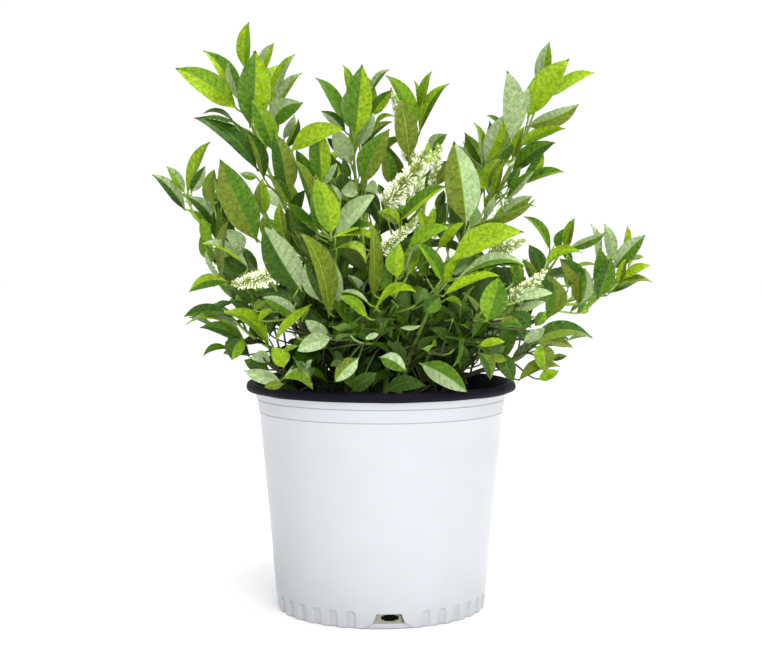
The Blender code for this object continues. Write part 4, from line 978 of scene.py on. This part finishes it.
def all_leaves(lines, box):
    """Each leaf with its tones and whether it is a leading one, shoot by shoot, and all stems."""
    leads = [lead_leaf(lead) for lead in LEADS]
    crown = [in_picture(on_leaf(leaf, i / 6)) for leaf in leads for i in range(7)]
    places = open_places(leads, lines)
    leaves, stems = [], []
    for shoot in SHOOTS:
        line = lines[shoot.name]
        radius = CANE_RADIUS if shoot.parent is None else FORK_RADIUS
        old = shoot.parent is None and shoot.name not in YOUNG_CANES
        stems.append(Stem(line, radius, CANE_MESH, 1, BROWN if old else GREEN))
        rng = random.Random(shoot.name + " finer")
        on_line, twigs = foliage_of(shoot, line)
        for twig, leaf_set in [(None, on_line), *twigs, *finer_twigs(shoot, line, rng)]:
            kept = []
            for count, leaf in enumerate(leaf_set):
                tones = tones_of(leaf, count < YOUNG_LEAVES, rng)
                if has_room(leaf, box, crown, places):
                    kept.append((leaf, tones, False))
            leaves += kept
            if twig and kept:
                stems.append(Stem(twig, TWIG_RADIUS, TWIG_MESH, share_at(twig, kept[0][0].root), DIM))
    shoots = {shoot.name: shoot for shoot in SHOOTS}
    for lead, leaf in zip(LEADS, leads):
        tones = [TONE_NAMES.index(tone) for tone in lead.tones.split()]
        leaves.append((leaf, (tones[0], tones[-1]), True))
        twig = lead_twig(leaf, shoots[lead.shoot], lines[lead.shoot])
        stems.append(Stem(twig, TWIG_RADIUS, LEAD_TWIG_MESH, 1, DIM))
    return leaves, stems


class Bundle:
    """Points, faces and slots of many shapes, gathered for one piece."""

    def __init__(self):
        self.points, self.faces, self.slots = [], [], []
        self.count = 0

    def add(self, points, faces, slots):
        self.points.append(points)
        self.faces.append(np.asarray(faces) + self.count)
        self.slots.append(slots)
        self.count += len(points)

    def piece(self, name, materials, slot):
        points, faces, slots = (np.concatenate(part) for part in (self.points, self.faces, self.slots))
        return mesh_piece(name, points, faces, slots, materials)


def mesh_piece(name, points, faces, slots, materials):
    mesh = bpy.data.meshes.new(name)
    mesh.vertices.add(len(points))
    mesh.vertices.foreach_set("co", np.asarray(points, np.float32).ravel())
    size = faces.shape[1]
    mesh.loops.add(faces.size)
    mesh.loops.foreach_set("vertex_index", faces.astype(np.int32).ravel())
    mesh.polygons.add(len(faces))
    mesh.polygons.foreach_set("loop_start", np.arange(0, faces.size, size, dtype=np.int32))
    mesh.polygons.foreach_set("material_index", np.asarray(slots, np.int32))
    mesh.update(calc_edges=True)
    mesh.validate()
    mesh.shade_smooth()
    mesh.set_sharp_from_angle(angle=SHARP_ANGLE)
    for finish in materials:
        mesh.materials.append(finish)
    made = bpy.data.objects.new(name, mesh)
    bpy.context.scene.collection.objects.link(made)
    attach(made, "root")
    return made


def quads_between(rings, steps):
    """Quads from each closed ring of points to the next one."""
    i, j = np.divmod(np.arange((rings - 1) * steps), steps)
    k = (j + 1) % steps
    return np.stack([i * steps + j, i * steps + k, (i + 1) * steps + k, (i + 1) * steps + j], axis=1)


def leaf_points(leaf, form, rng):
    """Points of the upper side, and of the underside just within them."""
    leading = form is LEAD_FORM
    u, v = np.meshgrid(np.array(form.rows), np.array(COLUMNS), indexing="ij")
    row = np.arange(len(form.rows))[:, None] - FIRST_VEIN_ROW
    u = np.minimum(u + VEIN_SWEEP * np.abs(v) * np.sin(np.pi * u), 1)
    half = np.interp(u, *zip(*OUTLINE)) * leaf.width / 2
    fold = math.radians(rng.uniform(*form.fold))
    twist = math.radians(rng.uniform(-form.twist, form.twist)) * u
    phase, pace = rng.uniform(0, 6), rng.uniform(*WAVE_PACE)
    wave = form.wave * leaf.width * np.sin(u * pace + phase + v) * np.abs(v)
    raised = row % 3 == 2 if leading else row % 2 == 0
    quilt = np.where(raised, 1, -1) * np.sin(np.pi * np.abs(v)) * np.sin(np.pi * u) * form.relief
    aside = v * half * (1 if leading else math.cos(fold))
    lift = np.abs(v) * half * math.sin(fold) + wave + quilt
    turned_aside = aside * np.cos(twist) - lift * np.sin(twist) + 4 * leaf.bow * u * (1 - u)
    turned_lift = aside * np.sin(twist) + lift * np.cos(twist)
    ahead, fall = arch(leaf.droop, u)
    forward = ahead * leaf.length
    fall = (fall + TIP_CURL * np.maximum(0, u - CURL_START) ** 2) * leaf.length
    root, along, face = (np.array(tuple(part)) for part in (leaf.root, leaf.along, leaf.face))
    top = (root + forward[..., None] * along + (turned_lift - fall)[..., None] * face
           + turned_aside[..., None] * np.cross(along, face))
    normal = np.cross(np.gradient(top, axis=0), np.gradient(top, axis=1))
    normal /= np.linalg.norm(normal, axis=2, keepdims=True) + 1e-12
    normal *= np.sign((normal * face).sum(axis=2, keepdims=True).sum())
    under = top - normal * BLADE_THICKNESS
    return np.concatenate([top.reshape(-1, 3), under[1:-1, 1:-1].reshape(-1, 3)])


# The vein kinds are the sunken vein rows of a leading leaf, painted darker as shade.
LEFT, RIGHT, UNDER_LEFT, UNDER_RIGHT, RIB, END, VEIN_LEFT, VEIN_RIGHT = range(8)


def leaf_faces(form):
    """Quads of a leaf and the kind of each. The upper side and the underside share their margin."""
    rows, columns = len(form.rows), len(COLUMNS)
    inner = rows * columns

    def lower(i, j):
        if i in (0, rows - 1) or j in (0, columns - 1):
            return i * columns + j
        return inner + (i - 1) * (columns - 2) + j - 1

    faces, kinds = [], []
    middle = columns // 2 - 1
    vein_rows = range(FIRST_VEIN_ROW, FIRST_VEIN_ROW + 3 * len(VEINS), 3) if form is LEAD_FORM else ()
    for i, j in itertools.product(range(rows - 1), range(columns - 1)):
        ring = ((i, j), (i, j + 1), (i + 1, j + 1), (i + 1, j))
        faces.append([p * columns + q for p, q in ring])
        faces.append([lower(p, q) for p, q in reversed(ring)])
        if form.rows[i] > DARK_TIP:
            kinds += [END, END]
        elif j == middle:
            kinds += [RIB, RIB]
        elif i in vein_rows:
            kinds += [VEIN_LEFT, UNDER_LEFT] if j < middle else [VEIN_RIGHT, UNDER_RIGHT]
        else:
            kinds += [LEFT, UNDER_LEFT] if j < middle else [RIGHT, UNDER_RIGHT]
    return np.array(faces), np.array(kinds)


def leaves_piece(name, leaves, materials, seed):
    """One mesh of many leaves. Each is a leaf, the tones of its halves, and whether it is a leading one."""
    rng = random.Random(seed)
    shapes = {form: leaf_faces(form) for form in (RULE_FORM, LEAD_FORM)}
    ribs = len(TONES) * 3
    bundle = Bundle()
    for leaf, (left, right), leading in leaves:
        form = LEAD_FORM if leading else RULE_FORM
        faces, kinds = shapes[form]
        # A leaf with a darker half gets the darker rib, as painted shade.
        rib = ribs + (min(left, right) <= TONE_NAMES.index("mid"))
        by_kind = (left * 3, right * 3, left * 3 + 1, right * 3 + 1, rib, ribs + 2,
                   left * 3 + 2, right * 3 + 2)
        bundle.add(leaf_points(leaf, form, rng), faces, np.array(by_kind)[kinds])
    return bundle.piece(name, materials, "foliage")


def tube(points, radii, sides):
    """Points and quads of a round tube along a line."""
    points = [np.array(tuple(p)) for p in points]
    turns = np.arange(sides)[:, None] * 2 * math.pi / sides
    rings = []
    normal = None
    for i, point in enumerate(points):
        heading = points[min(i + 1, len(points) - 1)] - points[max(i - 1, 0)]
        heading = heading / np.linalg.norm(heading)
        start = np.array((1.0, 0, 0)) if abs(heading[0]) < 0.9 else np.array((0, 1.0, 0))
        normal = start if normal is None else normal
        normal = normal - heading * np.dot(normal, heading)
        normal = normal / np.linalg.norm(normal)
        rings.append(point + radii[i] * (np.cos(turns) * normal + np.sin(turns) * np.cross(heading, normal)))
    return np.concatenate(rings), quads_between(len(rings), sides)


def stems_piece(name, stems, materials):
    """Stems that taper to their tips, with small knots at a steady pace. Canes have bark low down."""
    bundle = Bundle()
    for line, radius, (sides, steps), end, low in stems:
        spots = [bezier(*line.shape, end * i / steps) for i in range(steps + 1)]
        radii = []
        for i in range(steps + 1):
            knot = 1 + KNOT_SIZE * max(0.0, math.sin(i * KNOT_PACE)) ** 4
            radii.append((TIP_RADIUS + (radius - TIP_RADIUS) * (1 - i / steps) ** TAPER) * knot)
        ring, quads = tube(spots, radii, sides)
        heights = ring[quads].mean(axis=1)[:, 2]
        bundle.add(ring, quads, np.where(heights > BARK_TOP, GREEN, low))
    return bundle.piece(name, materials, "canes")


def floret(place, out, size, rng):
    """Narrow petals, curved outward, round a small green cup on a short stalk."""
    out = out.normalized()
    side = out.orthogonal().normalized()
    points, faces = [], []
    for i in range(PETALS):
        turn = Matrix.Rotation(2 * math.pi * i / PETALS + rng.uniform(-PETAL_STRAY, PETAL_STRAY), 3, out)
        away = turn @ side
        width = out.cross(away) * size * PETAL_WIDTH
        spread = rng.uniform(*PETAL_SPREAD)
        profile = (PETAL_FOOT, PETAL_BEND, (rng.uniform(*PETAL_REACH), *PETAL_TIP))
        foot, middle, tip = (place + out * size * ahead + away * size * (aside + more * spread)
                             for ahead, aside, more in profile)
        base = len(points)
        waist = width * PETAL_WAIST
        points += [foot - waist, foot + waist, middle + width, middle - width, tip]
        faces += [(base, base + 1, base + 2, base + 3), (base + 3, base + 2, base + 4, base + 4)]
    base = len(points)
    cup, other = side * size * CUP_RADIUS, out.cross(side) * size * CUP_RADIUS
    core, top = place + out * size * CUP_FOOT, place + out * size * CUP_TOP
    points += [place, core + cup, core + other, core - cup, core - other, top]
    faces += [(base, base + 1 + (i + 1) % 4, base + 5, base + 1 + i) for i in range(4)]
    return np.array([tuple(point) for point in points]), faces, [0] * 2 * PETALS + [1] * 4


def racemes_piece(name, racemes, lines, materials):
    """Flower spikes: florets spiral close round each stalk, open at the foot and in bud at the tip."""
    rng = random.Random(name)
    bundle = Bundle()
    shares = [i / SPIKE_STEPS for i in range(SPIKE_STEPS + 1)]
    for raceme in racemes:
        root = lines[raceme.shoot].point(raceme.back)
        stalk = Line(root, raceme.foot, TWIG_RISE, SPIKE_LIFT, SPIKE_STEPS)
        spike = Line(raceme.foot, raceme.tip, 0, SPIKE_LIFT, SPIKE_STEPS)
        for line, taper in ((stalk, 0), (spike, SPIKE_TAPER)):
            ring, quads = tube([bezier(*line.shape, share) for share in shares],
                               [SPIKE_STALK * (1 - taper * share) for share in shares], SPIKE_SIDES)
            bundle.add(ring, quads, np.ones(len(quads), int))
        number = int(spike.length / FLORET_SPACE)
        for i in range(number):
            back = spike.length * (1 - i / number)
            axis = spike.heading(min(max(back, SPIKE_END), spike.length - SPIKE_END))
            bud = (i / number) ** BUD_CURVE
            turn = i * GOLDEN + rng.uniform(-FLORET_STRAY, FLORET_STRAY)
            size = raceme.radius * (1 - BUD_SHRINK * bud) * rng.uniform(*FLORET_SIZES)
            out = across(axis, turn) + axis * (BUD_LEAN[0] + BUD_LEAN[1] * bud)
            points, faces, slots = floret(spike.point(back), out, size, rng)
            budded = rng.random() < max(bud * BUD_SHARE, raceme.green)
            bundle.add(points, faces, np.maximum(slots, budded))
    return bundle.piece(name, materials, "foliage")


def wall_radius(height):
    return FOOT_RADIUS + (WALL_TOP_RADIUS - FOOT_RADIUS) * height / WALL_TOP


def from_drain(turn):
    """How far round the foot a turn lies from the middle of the nearest drain."""
    arc = (turn - DRAIN_TURN) % (math.pi / 2)
    return (arc if arc < math.pi / 4 else arc - math.pi / 2) * FOOT_RADIUS


def drain_half(height):
    """Half the width of a drain: an open notch up to its sill, then a narrower band."""
    if height < DRAIN_SILL:
        return (DRAIN_FOOT_WIDTH + (DRAIN_SILL_WIDTH - DRAIN_FOOT_WIDTH) * height / DRAIN_SILL) / 2
    rise = (height - DRAIN_SILL) / (DRAIN_HEIGHT - DRAIN_SILL)
    return (DRAIN_SILL_WIDTH + (DRAIN_TOP_WIDTH - DRAIN_SILL_WIDTH) * rise) / 2


def press_depth(turn, height):
    """How far the wall is pressed in at a turn and a height, by a flute or by a drain."""
    arc = (turn - DRAIN_TURN) % (math.pi / 2)
    place = round(arc / FLUTE_PITCH)
    if place % FLUTES_PER_QUARTER in (0, 1, FLUTES_PER_QUARTER - 1):
        inside = min(drain_half(height) - abs(from_drain(turn)), DRAIN_HEIGHT - height)
        depth = SILL_DEPTH if height < DRAIN_SILL else DRAIN_DEPTH
        return depth * min(1.0, max(0.0, inside / DRAIN_EDGE))
    half = FLUTE_WIDTH / 2
    above = max(0.0, height - (FLUTE_HEIGHT - half))
    inside = half - math.hypot((arc - place * FLUTE_PITCH) * FOOT_RADIUS, above)
    return FLUTE_PRESS * min(1.0, max(0.0, inside / PRESS_EDGE))


def foot_slot(turn, height):
    """White plastic, or inside a drain the band, darkened as painted shade, with its hole and a strip along
    one edge painted black as shade.
    """
    inside = drain_half(height) - abs(from_drain(turn))
    if height > DRAIN_HEIGHT - DRAIN_EDGE or height < DRAIN_SILL or inside < DRAIN_EDGE / 2:
        return WHITE
    aside, above = from_drain(turn) - HOLE_ASIDE, height - HOLE_UP
    hole = (aside / HOLE_HALF_WIDTH) ** 2 + (above / HOLE_HALF_HEIGHT) ** 2
    ragged = 1 + HOLE_RAGGED * math.sin(turn * HOLE_TEETH)
    return HOLE if hole < ragged or inside < DRAIN_EDGE * HOLE_SHADE < aside else SHADED_BAND


def rim_ripple(turn):
    """How far out and up the moulded rim strays from a true ring."""
    out = math.sin(turn * 9 + 1) * math.sin(turn * 4) + 0.6 * math.sin(turn * 23)
    up = 0.8 * math.sin(turn * 11 + 2) * math.sin(turn * 3)
    return RIM_WAVE * out, RIM_WAVE * up


def pot_piece(materials):
    """The pot's outside from underside to rim, and its inside down to the soil."""
    underside = [(radius, 0.0, WHITE) for radius in UNDERSIDE_RADII]
    outside = [(wall_radius(height) - FOOT_EASE * (height == 0), height, WHITE) for height in WALL_RINGS]
    collars = [(WALL_TOP_RADIUS + out, height, slot) for out, height, slot in COLLARS]
    middle, roll = (COLLAR_TOP + POT_HEIGHT) / 2, (POT_HEIGHT - COLLAR_TOP) / 2
    rim = [(RIM_RADIUS - roll + roll * math.cos(a), middle + roll * math.sin(a), BLACK)
           for a in np.linspace(*RIM_ARC)]
    inside = [(*ring, BLACK) for ring in INSIDE_RINGS]
    rings = [*underside, *outside, *collars, *rim, *inside]
    turns = [2 * math.pi * j / POT_STEPS for j in range(POT_STEPS)]
    points, slots = [], []
    for i, (radius, height, _) in enumerate(rings):
        in_foot = i >= len(underside) and height < FOOT_TOP
        in_rim = i >= len(rings) - len(rim) - len(inside)
        for turn in turns:
            out, up = rim_ripple(turn) if in_rim else (0.0, 0.0)
            r = radius - (press_depth(turn, height) if in_foot else 0.0) + out
            points.append((r * math.cos(turn), r * math.sin(turn), height + up))
    for i, (low, high) in enumerate(zip(rings, rings[1:])):
        in_foot = i >= len(underside) and high[1] < FOOT_TOP
        slots += [foot_slot(turn, low[1]) if in_foot else high[2] for turn in turns]
    return mesh_piece("pot_shell", points, quads_between(len(rings), POT_STEPS), slots, materials)


def soil_piece(finish):
    """A lumpy disc of potting mix with chips of bark on it."""
    rng = random.Random("soil")
    radius = WALL_TOP_RADIUS - WALL - SOIL_GAP
    bundle = Bundle()
    points = []
    for i, j in itertools.product(range(SOIL_RINGS + 1), range(SOIL_STEPS)):
        turn = 2 * math.pi * j / SOIL_STEPS
        r = max(radius * i / SOIL_RINGS, SOIL_MIDDLE)
        lump = rng.uniform(-SOIL_LUMP, SOIL_LUMP)
        points.append((r * math.cos(turn), r * math.sin(turn), SOIL_TOP + SOIL_UP + lump))
    upward = quads_between(SOIL_RINGS + 1, SOIL_STEPS)[:, [0, 3, 2, 1]]
    bundle.add(points, upward, [0] * len(upward))
    for _ in range(CHIPS):
        turn, r = rng.uniform(0, 2 * math.pi), (radius - CHIP_EDGE) * math.sqrt(rng.random())
        place = Vector((r * math.cos(turn), r * math.sin(turn), SOIL_TOP + rng.uniform(*CHIP_UP)))
        axis = Vector((rng.uniform(-1, 1), rng.uniform(-1, 1), 2)).normalized()
        spin = Matrix.Rotation(rng.uniform(0, 2 * math.pi), 3, axis)
        size = Vector([rng.uniform(*sizes) for sizes in CHIP_SIZES])
        corners = [place + spin @ (Vector(corner) * size) for corner in itertools.product((-1, 1), repeat=3)]
        bundle.add([tuple(corner) for corner in corners], CHIP_SIDES, [0] * len(CHIP_SIDES))
    return bundle.piece("soil_surface", [finish], "soil")


def shader(name, colour, roughness, specular=0.5, translucent=0.0, bump=0.0, scale=200.0, vary=0.0):
    """A Principled surface with a fine bump, a slow random change of tone whose bright end is a painted
    highlight, and some light let through.
    """
    made = bpy.data.materials.new(name)
    made.use_nodes = True
    nodes, link = made.node_tree.nodes, made.node_tree.links.new

    def fill(node, **values):
        for socket, value in values.items():
            node.inputs[socket.replace("_", " ")].default_value = value
        return node

    surface = fill(nodes["Principled BSDF"], Base_Color=(*colour, 1), Roughness=roughness,
                   Specular_IOR_Level=specular)
    place = nodes.new("ShaderNodeTexCoord").outputs["Object"]
    if vary:
        noise = fill(nodes.new("ShaderNodeTexNoise"), Scale=scale / MOTTLE, Detail=4)
        ramp = nodes.new("ShaderNodeValToRGB")
        dark, light = ramp.color_ramp.elements
        dark.position, light.position = MOTTLE_RANGE
        # The mottle's light end is lifted and whitened as a painted highlight.
        dark.color = (*(c * (1 - vary) for c in colour), 1)
        light.color = (*(min(1.0, c * (1 + MOTTLE_AND_HIGHLIGHT_LIFT * vary) + HIGHLIGHT_WHITENING * vary) for c in colour), 1)
        link(place, noise.inputs["Vector"])
        link(noise.outputs["Fac"], ramp.inputs["Fac"])
        link(ramp.outputs["Color"], surface.inputs["Base Color"])
    if bump:
        grain = fill(nodes.new("ShaderNodeTexNoise"), Scale=scale)
        relief = fill(nodes.new("ShaderNodeBump"), Strength=bump, Distance=BUMP_DISTANCE)
        link(place, grain.inputs["Vector"])
        link(grain.outputs["Fac"], relief.inputs["Height"])
        link(relief.outputs["Normal"], surface.inputs["Normal"])
    if translucent:
        glow = fill(nodes.new("ShaderNodeBsdfTranslucent"), Color=(*(min(1.0, c * GLOW) for c in colour), 1))
        mix = fill(nodes.new("ShaderNodeMixShader"), Fac=translucent)
        link(surface.outputs["BSDF"], mix.inputs[1])
        link(glow.outputs["BSDF"], mix.inputs[2])
        link(mix.outputs["Shader"], nodes["Material Output"].inputs["Surface"])
    return made


def leaf_shaders():
    """For each tone its upper side, its underside and its veins darkened as painted shade, and then the
    ribs, lit and in painted shade, and the tips.
    """
    made = []
    for name, (upper, under, gloss, vein_shade) in TONES.items():
        veins = [c * vein_shade for c in upper]
        made.append(shader(f"leaf_{name}", upper, 0.45, gloss, *LEAF_SKIN, 0.30))
        made.append(shader(f"leaf_{name}_under", under, 0.6, 0.1, *LEAF_SKIN, 0.20))
        made.append(shader(f"leaf_{name}_vein", veins, 0.45, gloss, *LEAF_SKIN, 0.30))
    made.append(shader("leaf_rib", (0.26, 0.36, 0.05), 0.5, 0.1, 0.2))
    made.append(shader("leaf_rib_dim", (0.10, 0.18, 0.03), 0.5, 0.1, 0.2))
    made.append(shader("leaf_tip", (0.045, 0.050, 0.012), 0.5, 0.1))
    return made


def stage_and_light():
    scene = bpy.context.scene
    mesh = bpy.data.meshes.new("floor")
    half = FLOOR_HALF
    corners = [(x, y, -FLOOR_DOWN) for x, y in ((-half, -half), (half, -half), (half, half), (-half, half))]
    mesh.from_pydata(corners, [], [(0, 1, 2, 3)])
    mesh.materials.append(shader("floor_white", FLOOR_WHITE, 0.9, 0.2))
    floor = bpy.data.objects.new("floor", mesh)
    scene.collection.objects.link(floor)
    scene.world = bpy.data.worlds.new("studio")
    scene.world.use_nodes = True
    background = scene.world.node_tree.nodes["Background"]
    background.inputs["Color"].default_value = (1, 1, 1, 1)
    background.inputs["Strength"].default_value = WORLD_STRENGTH
    for name, place, size, power in LAMPS:
        data = bpy.data.lights.new(name, "AREA")
        data.size = size
        data.energy = power
        light = bpy.data.objects.new(name, data)
        light.location = place
        light.rotation_euler = (LAMP_AIM - Vector(place)).to_track_quat("-Z", "Y").to_euler()
        scene.collection.objects.link(light)
    scene.view_settings.view_transform = "Standard"


def add_camera():
    data = bpy.data.cameras.new("camera")
    data.sensor_width = SENSOR
    data.lens = FOCAL_PIXELS / PHOTO_WIDTH * SENSOR
    camera = bpy.data.objects.new("camera", data)
    camera.location = VIEW_FROM
    camera.rotation_euler = (math.pi / 2 + VIEW_PITCH, 0, 0)
    bpy.context.scene.collection.objects.link(camera)
    bpy.context.scene.camera = camera


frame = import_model()
cad_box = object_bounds()

leaf_finishes = leaf_shaders()
lines = lines_of(SHOOTS)
leaves, stems = all_leaves(lines, cad_box)
masses = [node for node in frame["nodes"] if node.endswith("_leaves")]
canes = [node for node in frame["nodes"] if node.endswith("_cane")]
for part, start in enumerate(range(0, len(leaves), LEAVES_PER_PIECE)):
    piece = leaves_piece(f"leaves_{part}", leaves[start:start + LEAVES_PER_PIECE], leaf_finishes, part)
    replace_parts(piece, *masses)
stem_finishes = [
    shader("cane_bark", (0.050, 0.046, 0.018), 0.6, 0.2, 0.0, 0.3, 900, 0.3),
    shader("green_stem", (0.20, 0.30, 0.045), 0.5, 0.2, 0.0, 0.2, 900, 0.2),
    shader("low_twig", (0.050, 0.080, 0.016), 0.5, 0.2, 0.0, 0.2, 900, 0.2),
]
stem_piece = stems_piece("stems", stems, stem_finishes)
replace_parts(stem_piece, *canes)
petal = shader("petal_cream", (0.88, 0.92, 0.66), 0.6, 0.2, 0.2)
core = shader("floret_green", (0.30, 0.38, 0.09), 0.6, 0.2)
racemes_piece("flower_spikes", RACEMES, lines, [petal, core])
pot_finishes = [
    shader("pot_plastic", (0.395, 0.405, 0.428), 0.40, 0.20, 0.0, 0.05, 60, 0.01),
    shader("pot_rim", (0.004, 0.0035, 0.008), 0.60, 0.06),
    # The drain's band is a yellowish grey darkened as painted shade, and its hole is painted black as the
    # shade behind it.
    shader("drain_band", (0.23, 0.23, 0.16), 0.7, 0.3, 0.0, 0.3, 700, 0.3),
    shader("drain_hole", (0.004, 0.004, 0.004), 0.9, 0.0),
    # The seam grooves' grey is painted shade.
    shader("pot_seam", (0.30, 0.31, 0.35), 0.6, 0.2),
]
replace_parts(pot_piece(pot_finishes), "pot")
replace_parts(soil_piece(shader("potting_mix", (0.020, 0.013, 0.009), 0.9, 0.2, 0.0, 0.6, 500, 0.5)), "soil")
stage_and_light()
add_camera()
